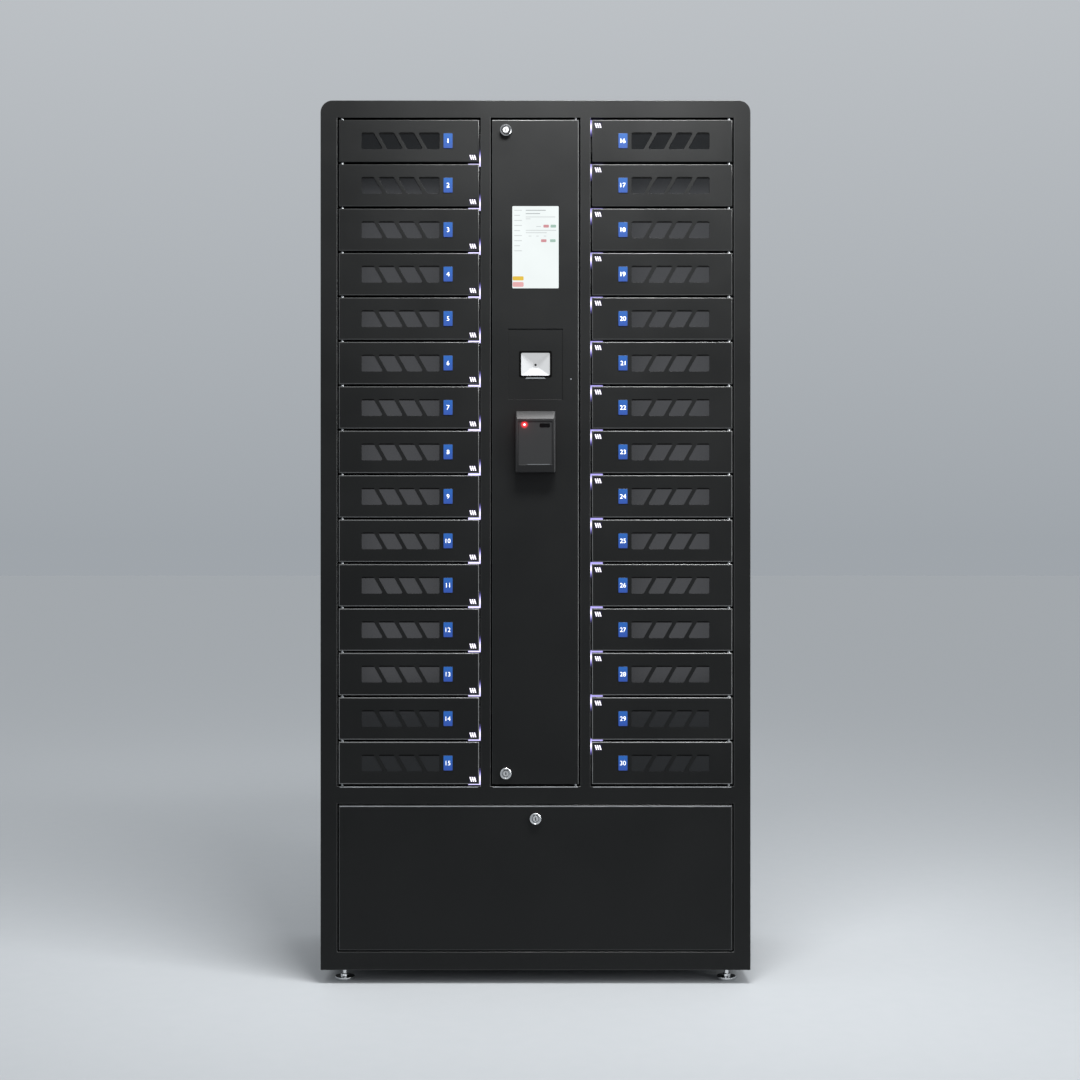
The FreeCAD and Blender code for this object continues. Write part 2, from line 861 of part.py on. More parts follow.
# Centre door and what it carries
def centre_door():
    """Tall folded door with the display window, the scanner recess, two lock holes and its pivots."""
    body = new_body("centre_tray")
    half = "centre_width / 2"
    low = "column_base + door_gap"
    high = "column_top - door_gap"
    skin = sketch_on(body, "XZ_Plane")
    rectangle(skin, f"-{half}", low, half, high)
    for width, height, drop in (
        ("display_width", "display_height", "display_drop"),
        ("recess_width", "recess_height", "scanner_drop"),
    ):
        bottom = f"body_top - {drop} - {height} / 2"
        rectangle(skin, f"-{width} / 2", bottom, f"{width} / 2", f"{bottom} + {height}")
    for z in centre_lock_heights():
        circle(skin, f"cam_lock_inset - {half}", z, "lock_hole")
    pad(body, skin, "centre_wall", backward=True)
    display = window_corners("display_width", "display_height", "body_top - display_drop")
    fillet(body, "display_corner", display)
    flanges = sketch_on(body, "XZ_Plane")
    rectangle(flanges, f"-{half}", low, half, high)
    rectangle(
        flanges,
        f"centre_wall - {half}",
        f"{low} + centre_wall",
        f"{half} - centre_wall",
        f"{high} - centre_wall",
    )
    pad(body, flanges, "centre_depth", backward=True)
    pivot = sketch_on(body, "XY_Plane", low)
    polygon(pivot, "centre_pivot_x", "pivot_setback", "hole_corner", HEX_SIDES)
    pocket(body, pivot, "centre_height", backward=True)
    return sub_part("centre_door", [body])


def centre_lock_heights():
    return ("column_top - door_gap - cam_lock_drop", "column_base + door_gap + cam_lock_drop")


def display_panel():
    """Touch glass behind the door skin and the panel housing behind it."""
    width = "display_width + 2 * display_lap"
    height = "display_height + 2 * display_lap"
    low = f"body_top - display_drop - ({height}) / 2"
    glass = block("touch_glass", f"-({width}) / 2", "centre_wall", low, width, "glass_wall", height)
    box = block(
        "panel_housing",
        f"-({width}) / 2",
        "centre_wall + glass_wall",
        low,
        width,
        "display_box",
        height,
    )
    return sub_part("display_panel", [glass, box])


def scanner_plate():
    """Plate behind the recess in the door, with the scanner window."""
    body = new_body("scanner_sheet")
    middle = "body_top - scanner_drop"
    face = sketch_on(body, "XZ_Plane", "-centre_wall")
    for width, height in (
        ("recess_width / 2 + recess_lap", "recess_height / 2 + recess_lap"),
        ("window_width / 2", "window_height / 2"),
    ):
        rectangle(face, f"-({width})", f"{middle} - ({height})", width, f"{middle} + {height}")
    pad(body, face, "scanner_wall", backward=True)
    fillet(body, "window_corner", window_corners("window_width", "window_height", middle))
    return sub_part("scanner_plate", [body])


def scanner_reflector():
    """Hood with a white pyramid funnel that narrows to the lens."""
    body = new_body("scanner_hood")
    middle = "body_top - scanner_drop"
    front = "centre_wall + scanner_wall"
    outer = sketch_on(body, "XZ_Plane", f"-({front})")
    half_width = "window_width / 2 + hood_lap"
    half_height = "window_height / 2 + hood_lap"
    bottom = f"{middle} - ({half_height})"
    rectangle(outer, f"-({half_width})", bottom, half_width, f"{middle} + {half_height}")
    pad(body, outer, "hood_depth", backward=True)
    funnel = body.newObject("PartDesign::SubtractiveWedge", "funnel")
    for bound, formula in (
        ("Xmin", "-funnel_width / 2"),
        ("Xmax", "funnel_width / 2"),
        ("Zmin", f"{middle} - funnel_height / 2"),
        ("Zmax", f"{middle} + funnel_height / 2"),
        ("Ymin", front),
        ("Ymax", f"{front} + funnel_depth"),
        ("X2min", "-funnel_floor / 2"),
        ("X2max", "funnel_floor / 2"),
        ("Z2min", f"{middle} - funnel_floor / 2"),
        ("Z2max", f"{middle} + funnel_floor / 2"),
    ):
        funnel.setExpression(bound, bind(formula))
    doc.recompute()
    axes = (FreeCAD.Vector(1, 0, 0), FreeCAD.Vector(0, 1, 0), FreeCAD.Vector(0, 0, 1))
    fillet(body, "funnel_corner", lambda edge: not any(runs_along(edge, axis) for axis in axes))
    backward = FreeCAD.Vector(0, -1, 0)
    lens = rod("lens", "0", f"{front} + funnel_depth", middle, "lens_radius", "lens_wall", backward)
    return sub_part("scanner_reflector", [body, lens])


def card_reader():
    """Moulded reader: upright front, sloped brow, rounded upright corners and a sunk touch panel."""
    body = new_body("reader_case")
    base = "body_top - reader_drop - reader_height / 2"
    side = sketch_on(body, "YZ_Plane", "-reader_width / 2")
    outline(side, [
        ("0", base),
        ("-reader_depth", base),
        ("-reader_depth", f"{base} + reader_height - reader_brow"),
        ("-reader_crown", f"{base} + reader_height"),
        ("0", f"{base} + reader_height"),
    ])
    pad(body, side, "reader_width")
    across_edge = FreeCAD.Vector(1, 0, 0)
    fillet(
        body,
        "reader_corner",
        lambda edge: not runs_along(edge, across_edge) and edge.CenterOfMass.y < -number("reader_crown"),
    )
    panel = sketch_on(body, "XZ_Plane", "reader_depth")
    low = f"{base} + reader_panel_low"
    rectangle(
        panel,
        "-reader_panel_width / 2",
        low,
        "reader_panel_width / 2",
        f"{low} + reader_panel_height",
    )
    pocket(body, panel, "reader_recess")
    return sub_part("card_reader", [body])


def card_reader_led():
    """Red indicator lens on the reader's sunk panel."""
    lens = rod(
        "reader_lens",
        "-reader_led_offset",
        "reader_recess - reader_depth",
        "body_top - reader_drop - reader_height / 2 + reader_led_rise",
        "reader_led_radius",
        "reader_led_out",
        FreeCAD.Vector(0, -1, 0),
    )
    return sub_part("card_reader_led", [lens])


# Cam locks
def lock_barrel(name):
    """Lock body with a flat round head and a threaded shank, bored for the plug along the Y axis."""
    body = new_body(name)
    head = sketch_on(body, "XZ_Plane")
    circle(head, "0", "0", "head_radius")
    pad(body, head, "head_reach")
    shank = sketch_on(body, "XZ_Plane")
    polygon(shank, "0", "0", "barrel_radius", THREAD_SIDES)
    pad(body, shank, "cam_plane - plug_proud", backward=True)
    bore = sketch_on(body, "XZ_Plane", "head_reach")
    circle(bore, "0", "0", "plug_radius + plug_play")
    pocket(body, bore, "head_reach + cam_plane")
    return body


def lock_plug(name):
    """Keyed plug through the barrel, with an upright key slot."""
    body = new_body(name)
    front = "head_reach + plug_proud"
    core = sketch_on(body, "XZ_Plane", front)
    circle(core, "0", "0", "plug_radius")
    pad(body, core, f"{front} + cam_plane", backward=True)
    slot = sketch_on(body, "XZ_Plane", front)
    rectangle(slot, "-key_width / 2", "-key_height / 2", "key_width / 2", "key_height / 2")
    pocket(body, slot, "key_depth")
    return body


def turned(name, item, degrees):
    """Copy of an object turned about the Y axis."""
    copy = group(name, [item])
    copy.Placement.Rotation = FreeCAD.Rotation(FreeCAD.Vector(0, 1, 0), degrees)
    return copy


def cam_locks():
    """Two locks on the free edge of the centre door and one at the top of the flap, all drawn open.

    The upper cam hangs down and the lower one stands up, clear of the rails; the flap's cam lies level.
    """
    barrel = lock_barrel("lock_barrel")
    plug = lock_plug("lock_plug")
    hanging_cam = block(
        "hanging_cam",
        "-cam_width / 2",
        "cam_plane",
        "-cam_length",
        "cam_width",
        "cam_wall",
        "cam_length + cam_width / 2",
    )
    rising_cam = turned("rising_cam", hanging_cam, 180)
    level_cam = turned("level_cam", hanging_cam, 90)
    lock_x = "cam_lock_inset - centre_width / 2"
    upper, lower = centre_lock_heights()
    flap_lock = "flap_top - side_gap - flap_lock_drop"
    barrels = [
        group("upper_barrel", [barrel], lock_x, "0", upper),
        group("lower_barrel", [barrel], lock_x, "0", lower),
    ]
    return [
        sub_part("centre_lock_barrels", barrels),
        sub_part("upper_lock_plug", [plug, hanging_cam], lock_x, upper),
        sub_part("lower_lock_plug", [plug, rising_cam], lock_x, lower),
        sub_part("flap_lock_barrel", [barrel], "0", flap_lock),
        sub_part("flap_lock_plug", [plug, level_cam], "0", flap_lock),
    ]


# Service flap
def service_flap():
    """Wide folded flap that drops forward on pins near its lower edge."""
    body = new_body("flap_tray")
    half = "flap_width / 2"
    low = "flap_base + side_gap"
    high = "flap_top - side_gap"
    skin = sketch_on(body, "XZ_Plane")
    rectangle(skin, f"-{half}", low, half, high)
    circle(skin, "0", f"{high} - flap_lock_drop", "lock_hole")
    pad(body, skin, "flap_wall", backward=True)
    flanges = sketch_on(body, "XZ_Plane")
    rectangle(flanges, f"-{half}", low, half, high)
    rectangle(
        flanges,
        f"flap_wall - {half}",
        f"{low} + flap_wall",
        f"{half} - flap_wall",
        f"{high} - flap_wall",
    )
    pad(body, flanges, "flap_depth", backward=True)
    pivot = sketch_on(body, "YZ_Plane", f"-{half}")
    polygon(pivot, "pivot_setback", f"{low} + pivot_inset", "hole_corner", HEX_SIDES)
    pocket(body, pivot, "flap_width", backward=True)
    return sub_part("service_flap", [body])


# Feet, gland and electronics
def levelling_feet():
    """Four feet: a pad with a grip rim, a hexagon for the spanner and a threaded stud."""
    body = new_body("foot_turning")
    rim = sketch_on(body, "XY_Plane")
    polygon(rim, "0", "0", "foot_radius", GRIP_SIDES)
    pad(body, rim, "pad_height")
    hexagon = sketch_on(body, "XY_Plane")
    polygon(hexagon, "0", "0", "neck_radius", HEX_SIDES)
    pad(body, hexagon, "pad_neck")
    stud = sketch_on(body, "XY_Plane")
    polygon(stud, "0", "0", "stud_radius", THREAD_SIDES)
    pad(body, stud, "pad_neck + stud_height")
    names = ("foot_front_left", "foot_front_right", "foot_rear_left", "foot_rear_right")
    feet = []
    for name, (x, y) in zip(names, foot_places()):
        feet.append(group(name, [body], x, f"front_y + {y}", "0"))
    return feet


def cable_gland():
    """Strain-relief gland through the back panel: shank, nut, hexagon flange and cap, bored for the lead."""
    body = new_body("gland_turning")
    shank = sketch_on(body, "XZ_Plane", "gland_in")
    polygon(shank, "0", "0", "gland_radius", THREAD_SIDES)
    pad(body, shank, "gland_in + back_wall + gland_flange_wall", backward=True)
    for offset, radius, sides, length in (
        ("gland_in", "gland_flange", HEX_SIDES, "gland_in"),
        ("-back_wall", "gland_flange", HEX_SIDES, "gland_flange_wall"),
        ("-back_wall - gland_flange_wall", "gland_radius", THREAD_SIDES, "gland_out - gland_flange_wall"),
    ):
        ring = sketch_on(body, "XZ_Plane", offset)
        polygon(ring, "0", "0", radius, sides)
        pad(body, ring, length, backward=True)
    bore = sketch_on(body, "XZ_Plane", "gland_in")
    circle(bore, "0", "0", "gland_bore")
    pocket(body, bore, "gland_in + back_wall + gland_out")
    place(body, "gland_x", "back_face", "foot_height + gland_rise")
    return sub_part("cable_gland", [body])


def power_supplies():
    """Three charging supplies standing on the base of the lower bay."""
    copies = []
    for step in ("-1", "0", "1"):
        x = f"{step} * supply_pitch - supply_width / 2"
        copies.append(
            block(
                "power_supply",
                x,
                "supply_setback",
                "lower_floor",
                "supply_width",
                "supply_depth",
                "supply_height",
            )
        )
    return sub_part("power_supplies", copies)


def controller_unit():
    """Control computer on the back panel behind the centre door."""
    case = block(
        "controller_case",
        "-controller_width / 2",
        "back_face - controller_depth",
        "deck_top + controller_rise",
        "controller_width",
        "controller_depth",
        "controller_height",
    )
    return sub_part("controller_unit", [case])


def all_sub_parts():
    finished = [
        outer_wrap(),
        front_frame(),
        back_panel(),
        base_panel(),
        deck_panel(),
        inner_walls(),
        shelves(),
        charging_sockets(),
        hinge_rods(),
        door_locks(),
        led_light_guides(),
        centre_door(),
        display_panel(),
        scanner_plate(),
        scanner_reflector(),
        card_reader(),
        card_reader_led(),
        service_flap(),
        cable_gland(),
        power_supplies(),
        controller_unit(),
    ]
    return finished + cam_locks() + levelling_feet() + compartment_doors()


def check(finished):
    """Stop before writing if any object failed or any shape is missing or broken."""
    doc.recompute()
    failed = [item.Name for item in doc.Objects if {"Invalid", "Error"} & set(item.State)]
    if failed:
        raise ValueError(f"failed objects: {failed}")
    broken = [item.Label for item in finished if item.Shape.isNull() or not item.Shape.isValid()]
    if broken:
        raise ValueError(f"broken shapes: {broken}")


def write(finished):
    os.makedirs("parts", exist_ok=True)
    for item in finished:
        item.Shape.exportStep(os.path.join("parts", item.Label + ".step"))
        print(item.Label, len(item.Shape.Solids), "solids")


fill_sheet()
sub_parts = all_sub_parts()
check(sub_parts)
write(sub_parts)
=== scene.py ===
# %% [markdown]
# # A tablet locker, dressed for the camera
# The imported model gives every sheet, door, rod and lock of the locker in metres, at rest, with the front
# towards -Y. This lesson adds what sheet-metal drawings leave out: paint, glass, lit windows, numbers and
# the small moulded and turned details.

# %% Load the imported model
import bmesh
import bpy
import math
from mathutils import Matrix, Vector


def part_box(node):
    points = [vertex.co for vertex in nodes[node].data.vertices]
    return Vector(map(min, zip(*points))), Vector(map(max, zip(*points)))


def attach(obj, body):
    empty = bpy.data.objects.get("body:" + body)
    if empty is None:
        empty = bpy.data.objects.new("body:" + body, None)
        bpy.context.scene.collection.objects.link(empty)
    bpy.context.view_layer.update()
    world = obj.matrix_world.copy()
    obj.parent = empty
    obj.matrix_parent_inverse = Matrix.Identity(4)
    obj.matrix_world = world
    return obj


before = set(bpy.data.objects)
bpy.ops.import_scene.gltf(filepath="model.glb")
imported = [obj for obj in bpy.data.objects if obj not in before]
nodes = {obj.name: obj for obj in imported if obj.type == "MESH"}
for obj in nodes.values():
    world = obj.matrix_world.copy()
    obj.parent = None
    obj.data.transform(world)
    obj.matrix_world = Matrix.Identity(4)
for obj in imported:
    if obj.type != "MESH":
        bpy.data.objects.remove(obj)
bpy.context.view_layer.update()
MM = 0.001
DOOR_ROWS = 15
door_names = [f"door_{number:02d}" for number in range(1, 2 * DOOR_ROWS + 1)]
left_doors = door_names[:DOOR_ROWS]
front_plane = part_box("front_frame")[0].y

# %% [markdown]
# ## Colours and nodes
# Colours are easiest to pick as sRGB hex values, the way a paint chart gives them, but Blender's shaders
# work in linear light. One function converts them. A second one adds a node, fills its sockets and links it,
# so that each finish below reads as a short list of what the real surface does.

# %% Colour and node helpers
def linear(code):
    """Linear RGBA of an sRGB hex colour."""
    parts = [int(code[i:i + 2], 16) / 255 for i in (1, 3, 5)]
    return tuple(c / 12.92 if c <= 0.04045 else ((c + 0.055) / 1.055) ** 2.4 for c in parts) + (1.0,)


def add(tree, kind, inputs=None, **settings):
    """Add a node: settings are its own properties, inputs are values or the sockets that feed it."""
    node = tree.nodes.new(kind)
    for name, value in settings.items():
        setattr(node, name, value)
    for name, value in (inputs or {}).items():
        if isinstance(value, bpy.types.NodeSocket):
            tree.links.new(value, node.inputs[name])
        else:
            node.inputs[name].default_value = value
    return node


def new_material(name, **plain):
    """A material whose main shader gets its plain values straight on its sockets."""
    material = bpy.data.materials.new(name)
    material.use_nodes = True
    shader = material.node_tree.nodes["Principled BSDF"]
    for socket, value in plain.items():
        shader.inputs[socket.replace("_", " ")].default_value = value
    return material, material.node_tree, shader


print("black", linear("#17181a")[:3])

# %% [markdown]
# ## Powder coat
# The cabinet is folded from steel sheet and powder coated in satin black: the powder melts into a skin with
# a faint orange peel, so highlights are soft and slightly uneven. A noise of about two millimetres drives the
# bump, and a slow noise of a hand's width drives the sheen. The real peel is finer than a pixel here, so it
# is drawn a little coarser than life.

# %% Powder coat
PEEL = 2.2 * MM
PEEL_HEIGHT = 0.05 * MM
HAZE = 180 * MM
ROUGH_SWING = 0.05
# Noise runs from 0 to 1, but most of it lies between these two values.
NOISE_LOW = 0.3
NOISE_HIGH = 0.7


def powder_coat(name, dark, light, rough, level, paler_heights=None):
    """Satin powder coat: two shades, uneven roughness and orange peel; paler_heights, a top and a foot
    height, paint it paler downwards.
    """
    material, tree, shader = new_material(name, IOR=1.5, Specular_IOR_Level=level)
    where = add(tree, "ShaderNodeTexCoord").outputs["Object"]
    haze = add(tree, "ShaderNodeTexNoise", {"Vector": where, "Scale": 1 / HAZE, "Detail": 4.0})
    peel = add(tree, "ShaderNodeTexNoise", {"Vector": where, "Scale": 1 / PEEL, "Detail": 2.0})
    blend = haze.outputs["Fac"]
    # Painted highlight: from the top height down to the foot height the colour grows paler and the specular
    # level rises.
    if paler_heights:
        height = add(tree, "ShaderNodeSeparateXYZ", {"Vector": where}).outputs["Z"]
        blend = add(tree, "ShaderNodeMapRange", {
            "Value": height, "From Min": paler_heights[0], "From Max": paler_heights[1]}).outputs["Result"]
        gloss = add(tree, "ShaderNodeMapRange", {"Value": blend, "To Min": level, "To Max": 1.0})
        tree.links.new(gloss.outputs["Result"], shader.inputs["Specular IOR Level"])
    shade = add(tree, "ShaderNodeMix", {
        "Factor": blend, "A": linear(dark), "B": linear(light)}, data_type="RGBA")
    satin = add(tree, "ShaderNodeMapRange", {
        "Value": haze.outputs["Fac"], "From Min": NOISE_LOW, "From Max": NOISE_HIGH,
        "To Min": rough - ROUGH_SWING, "To Max": rough + ROUGH_SWING})
    bump = add(tree, "ShaderNodeBump", {
        "Height": peel.outputs["Fac"], "Strength": 0.25, "Distance": PEEL_HEIGHT})
    tree.links.new(shade.outputs["Result"], shader.inputs["Base Color"])
    tree.links.new(satin.outputs["Result"], shader.inputs["Roughness"])
    tree.links.new(bump.outputs["Normal"], shader.inputs["Normal"])
    return material


cabinet_coat = powder_coat("satin_black_powder_coat", "#0d0e0e", "#131414", rough=0.46, level=0.21)
door_coat = powder_coat("satin_black_powder_coat_doors", "#0c0d0d", "#121313", rough=0.47, level=0.21)
inner_coat = powder_coat("dull_black_powder_coat_inside", "#141516", "#1a1b1c", rough=0.6, level=0.25)
# On a bend the skin is stretched thin and polished smooth by hands, so it is shinier;
# its paler colour is a painted highlight along the bends.
bend_coat_painted_highlight = powder_coat("burnished_powder_coat_bend_painted_highlight", "#2b2c2c", "#383939", rough=0.3, level=0.5)
# A painted highlight: the doors' bends are paler and shinier towards the floor, where less light from above
# reaches them.
PALER_HEIGHTS = (1.75, 0.5)
lower_bend_painted_highlight = powder_coat(
    "powder_coat_bend_painted_highlight_low", "#191a1a", "#5a5b5b", rough=0.3, level=0.3, paler_heights=PALER_HEIGHTS)
# The folded-back edges get a near-black coat: painted shade that makes the gaps between the doors look black.
gap_shade_coat = powder_coat("near_black_coat_painted_shade_in_gaps", "#020202", "#040404", rough=0.85, level=0.04)
coats = (cabinet_coat, door_coat, inner_coat, bend_coat_painted_highlight, lower_bend_painted_highlight, gap_shade_coat)
print("coats", [coat.name for coat in coats])

# %% [markdown]
# ## Metals
# The hinge rods, strikers and feet are zinc plated: bright, with a slight spangle of a few millimetres. The
# cam locks are die cast and chrome plated, so they mirror the room. A metal keeps the default IOR, and its
# colour is the colour of its reflection.

# %% Metals
SPANGLE = 4 * MM


def plated(name, dark, light, low, high, grain):
    """Bright plating whose roughness and tone wander at a grain size."""
    material, tree, shader = new_material(name, Metallic=1.0)
    where = add(tree, "ShaderNodeTexCoord").outputs["Object"]
    cells = add(tree, "ShaderNodeTexNoise", {"Vector": where, "Scale": 1 / grain, "Detail": 3.0})
    tone = add(tree, "ShaderNodeMix", {
        "Factor": cells.outputs["Fac"], "A": linear(dark), "B": linear(light)}, data_type="RGBA")
    rough = add(tree, "ShaderNodeMapRange", {
        "Value": cells.outputs["Fac"], "From Min": NOISE_LOW, "From Max": NOISE_HIGH,
        "To Min": low, "To Max": high})
    tree.links.new(tone.outputs["Result"], shader.inputs["Base Color"])
    tree.links.new(rough.outputs["Result"], shader.inputs["Roughness"])
    return material


zinc = plated("zinc_plated_steel", "#b4b7ba", "#d4d6d8", low=0.25, high=0.42, grain=SPANGLE)
chrome = plated("chrome_plated_die_casting", "#d5d7d9", "#e6e7e8", low=0.10, high=0.20, grain=3 * MM)
cast_zinc = plated("tumbled_zinc_casting", "#c3c5c7", "#d8dadc", low=0.42, high=0.55, grain=2 * MM)
# The flap's pins are blackened, so they don't glint in the gap.
black_steel = plated("blackened_steel", "#101112", "#18191a", low=0.45, high=0.6, grain=SPANGLE)
print("metals", zinc.name, chrome.name, cast_zinc.name, black_steel.name)

# %% [markdown]
# ## Plastics and panes
# Moulded ABS has a spark-eroded texture of about a millimetre. The vent panes are smoked acrylic: dark and
# glossy, so they mirror the room in front of the locker while the paint round them stays matt. The number
# plates are navy acrylic under a brighter label, and the scanner hood is white ABS.

# %% Plastics
TEXTURE = 1.1 * MM
DRIFT = 40 * MM


def moulded(name, dark, light, rough, texture=TEXTURE, height=0.03 * MM, **plain):
    """Moulded plastic: a fine eroded texture and a slight drift of colour."""
    material, tree, shader = new_material(name, Roughness=rough, **plain)
    where = add(tree, "ShaderNodeTexCoord").outputs["Object"]
    grain = add(tree, "ShaderNodeTexNoise", {"Vector": where, "Scale": 1 / texture, "Detail": 2.0})
    drift = add(tree, "ShaderNodeTexNoise", {"Vector": where, "Scale": 1 / DRIFT, "Detail": 2.0})
    tone = add(tree, "ShaderNodeMix", {
        "Factor": drift.outputs["Fac"], "A": linear(dark), "B": linear(light)}, data_type="RGBA")
    bump = add(tree, "ShaderNodeBump", {
        "Height": grain.outputs["Fac"], "Strength": 0.3, "Distance": height})
    tree.links.new(tone.outputs["Result"], shader.inputs["Base Color"])
    tree.links.new(bump.outputs["Normal"], shader.inputs["Normal"])
    return material


black_abs = moulded("black_abs_moulding", "#121314", "#17181a", 0.5, IOR=1.53)
reader_abs = moulded("charcoal_abs_moulding", "#131415", "#18191a", 0.55, IOR=1.53, Specular_IOR_Level=0.4)
# The reader's flat front gets a darker, less glossy copy of the case's plastic; its darker colour is painted
# shade.
case_front_shaded_abs = moulded("black_abs_front_painted_shade", "#101112", "#141516", 0.7, IOR=1.53, Specular_IOR_Level=0.12)
grey_abs = moulded("mid_grey_abs_moulding", "#56595b", "#626567", 0.45, IOR=1.53)
# The scanner's own lamp shines on its hood, so much of the white is light of its own.
white_abs = moulded("white_abs_moulding", "#66686a", "#6e7072", 0.45, IOR=1.53, Specular_IOR_Level=0.3,
                    Emission_Color=linear("#f4f5f6"), Emission_Strength=0.5)
smoked_pane = moulded(
    "smoked_acrylic", "#101112", "#151617", 0.1, texture=30 * MM, height=0.01 * MM, IOR=1.49)
plate_navy = moulded("navy_acrylic_plate", "#0a1836", "#0d1d40", 0.4, IOR=1.49)
print("plastics", black_abs.name, reader_abs.name, white_abs.name, smoked_pane.name, plate_navy.name)

# %% [markdown]
# ## Things that glow
# The status lights shine through a clear block behind each door, the display is backlit, and the reader has
# a red indicator. A slight noise in the strength keeps a lit surface from looking like flat paper.

# %% Lit finishes
def lit(name, colour, low, high, patch, base="#101012"):
    """A glowing surface whose strength drifts over a patch size."""
    material, tree, shader = new_material(
        name, Base_Color=linear(base), Roughness=0.35, Emission_Color=linear(colour))
    where = add(tree, "ShaderNodeTexCoord").outputs["Object"]
    drift = add(tree, "ShaderNodeTexNoise", {"Vector": where, "Scale": 1 / patch, "Detail": 1.0})
    power = add(tree, "ShaderNodeMapRange", {
        "Value": drift.outputs["Fac"], "From Min": NOISE_LOW, "From Max": NOISE_HIGH,
        "To Min": low, "To Max": high})
    tree.links.new(power.outputs["Result"], shader.inputs["Emission Strength"])
    return material


status_white = lit("status_light_white", "#fbf6ff", low=1.7, high=2.1, patch=5 * MM)
lens_glow = lit("status_lens_violet", "#3c2f78", low=0.15, high=0.3, patch=6 * MM)
red_glow = lit("red_indicator", "#ff5a5e", low=26.0, high=32.0, patch=2 * MM, base="#7a0f14")
screen_white = lit("backlit_screen_white", "#f4fbfa", low=0.93, high=0.97, patch=60 * MM)
print("lit", status_white.name, lens_glow.name, red_glow.name, screen_white.name)

# %% [markdown]
# ## Finding the solids inside a node
# A compartment door is one node with five solids: the folded tray, the smoked pane, the number plate, the
# status lens and the striker. Faces that share corner places belong to one solid, so joining faces corner by
# corner finds them again. Each solid can then get a finish of its own by its faces' material numbers.

# %% Solids of a node
# Corner places are compared to a micrometre.
SPOT_DIGITS = 6


def solids(name):
    """Face numbers and box of each separate solid in a CAD node."""
    mesh = nodes[name].data
    spots = [tuple(round(c, SPOT_DIGITS) for c in corner.co) for corner in mesh.vertices]
    leader = {spot: spot for spot in spots}

    def first(spot):
        while leader[spot] != spot:
            leader[spot] = leader[leader[spot]]
            spot = leader[spot]
        return spot

    for face in mesh.polygons:
        head = first(spots[face.vertices[0]])
        for corner in face.vertices[1:]:
            leader[first(spots[corner])] = head
    found = {}
    for face in mesh.polygons:
        found.setdefault(first(spots[face.vertices[0]]), []).append(face.index)
    made = []
    for faces in found.values():
        points = [mesh.vertices[i].co for f in faces for i in mesh.polygons[f].vertices]
        low = Vector(min(p[k] for p in points) for k in range(3))
        high = Vector(max(p[k] for p in points) for k in range(3))
        made.append((faces, low, high))
    return made


print("solids of a door", len(solids("door_01")))

# %% Finishes of a node
def dress(name, *finishes):
    """Give a CAD node its list of materials, the first one on every face."""
    mesh = nodes[name].data
    mesh.materials.clear()
    for finish in finishes:
        mesh.materials.append(finish)
    for face in mesh.polygons:
        face.material_index = 0
    return mesh


print("materials on a bare door", len(nodes["door_01"].data.materials))

# %% [markdown]
# ## Painting the cabinet
# Most nodes have one finish. Outside sheets are satin, inside sheets duller, because they get a thinner coat.

# %% Nodes with one finish
feet = [name for name in nodes if name.startswith("foot_")]
finishes = {
    cabinet_coat: ["back_panel", "scanner_plate"],
    inner_coat: ["base_panel", "deck_panel"],
    black_abs: ["charging_sockets", "door_locks", "controller_unit", "cable_gland", "display_panel"],
    chrome: ["centre_lock_barrels", "flap_lock_barrel"] + feet,
    cast_zinc: ["upper_lock_plug", "lower_lock_plug", "flap_lock_plug", "power_supplies"],
    red_glow: ["card_reader_led"],
}
for finish, names in finishes.items():
    for name in names:
        dress(name, finish)
dress("outer_wrap", cabinet_coat, bend_coat_painted_highlight)
print("one finish on", sum(len(names) for names in finishes.values()), "nodes")

# %% [markdown]
# ## Edges in the gaps
# The rims that are folded back into the gaps, and the front edges of the shelves and walls behind them, get
# a near-black coat, painted shade that draws every gap as a black line. A face's normal says where it looks:
# with little y it looks sideways, and with a y near -1 it looks to the front. The flap's pins are the rods
# that lie across.

# %% Edges in the gaps
FRAME_RIM = 3 * MM
GAP_DEPTH = 60 * MM
SIDEWAYS = 0.3
FACING = 0.9
GAP_SHADE = 1
gap_shaded = 0
for name, margin in (("front_frame", FRAME_RIM), ("centre_door", -FRAME_RIM), ("service_flap", -FRAME_RIM)):
    mesh = dress(name, cabinet_coat, gap_shade_coat, bend_coat_painted_highlight)
    low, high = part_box(name)
    for face in mesh.polygons:
        x, z = face.center.x, face.center.z
        inside = low.x + margin < x < high.x - margin and low.z + margin < z < high.z - margin
        if inside and abs(face.normal.y) < SIDEWAYS:
            face.material_index = GAP_SHADE
            gap_shaded += 1
for name in ("shelves", "inner_walls"):
    mesh = dress(name, inner_coat, gap_shade_coat)
    for face in mesh.polygons:
        if face.normal.y < -FACING and face.center.y < front_plane + GAP_DEPTH:
            face.material_index = GAP_SHADE
            gap_shaded += 1
mesh = dress("hinge_rods", zinc, black_steel)
for faces, low, high in solids("hinge_rods"):
    for face in faces:
        mesh.polygons[face].material_index = int(high.x - low.x > high.z - low.z)
print("dulled faces", gap_shaded)

# %% [markdown]
# ## The light guides
# Behind the free edge of every door stands a clear block with one lamp in it, so each block is brightest at
# the lamp and fades to violet away from it. The blocks repeat with the rows of doors, so the height
# is divided by the row pitch and only the remainder is used: one ramp then serves a whole column.

# %% Light guides
row_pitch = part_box("door_01")[0].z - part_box("door_02")[0].z
GUIDE_PEAK = 2.2


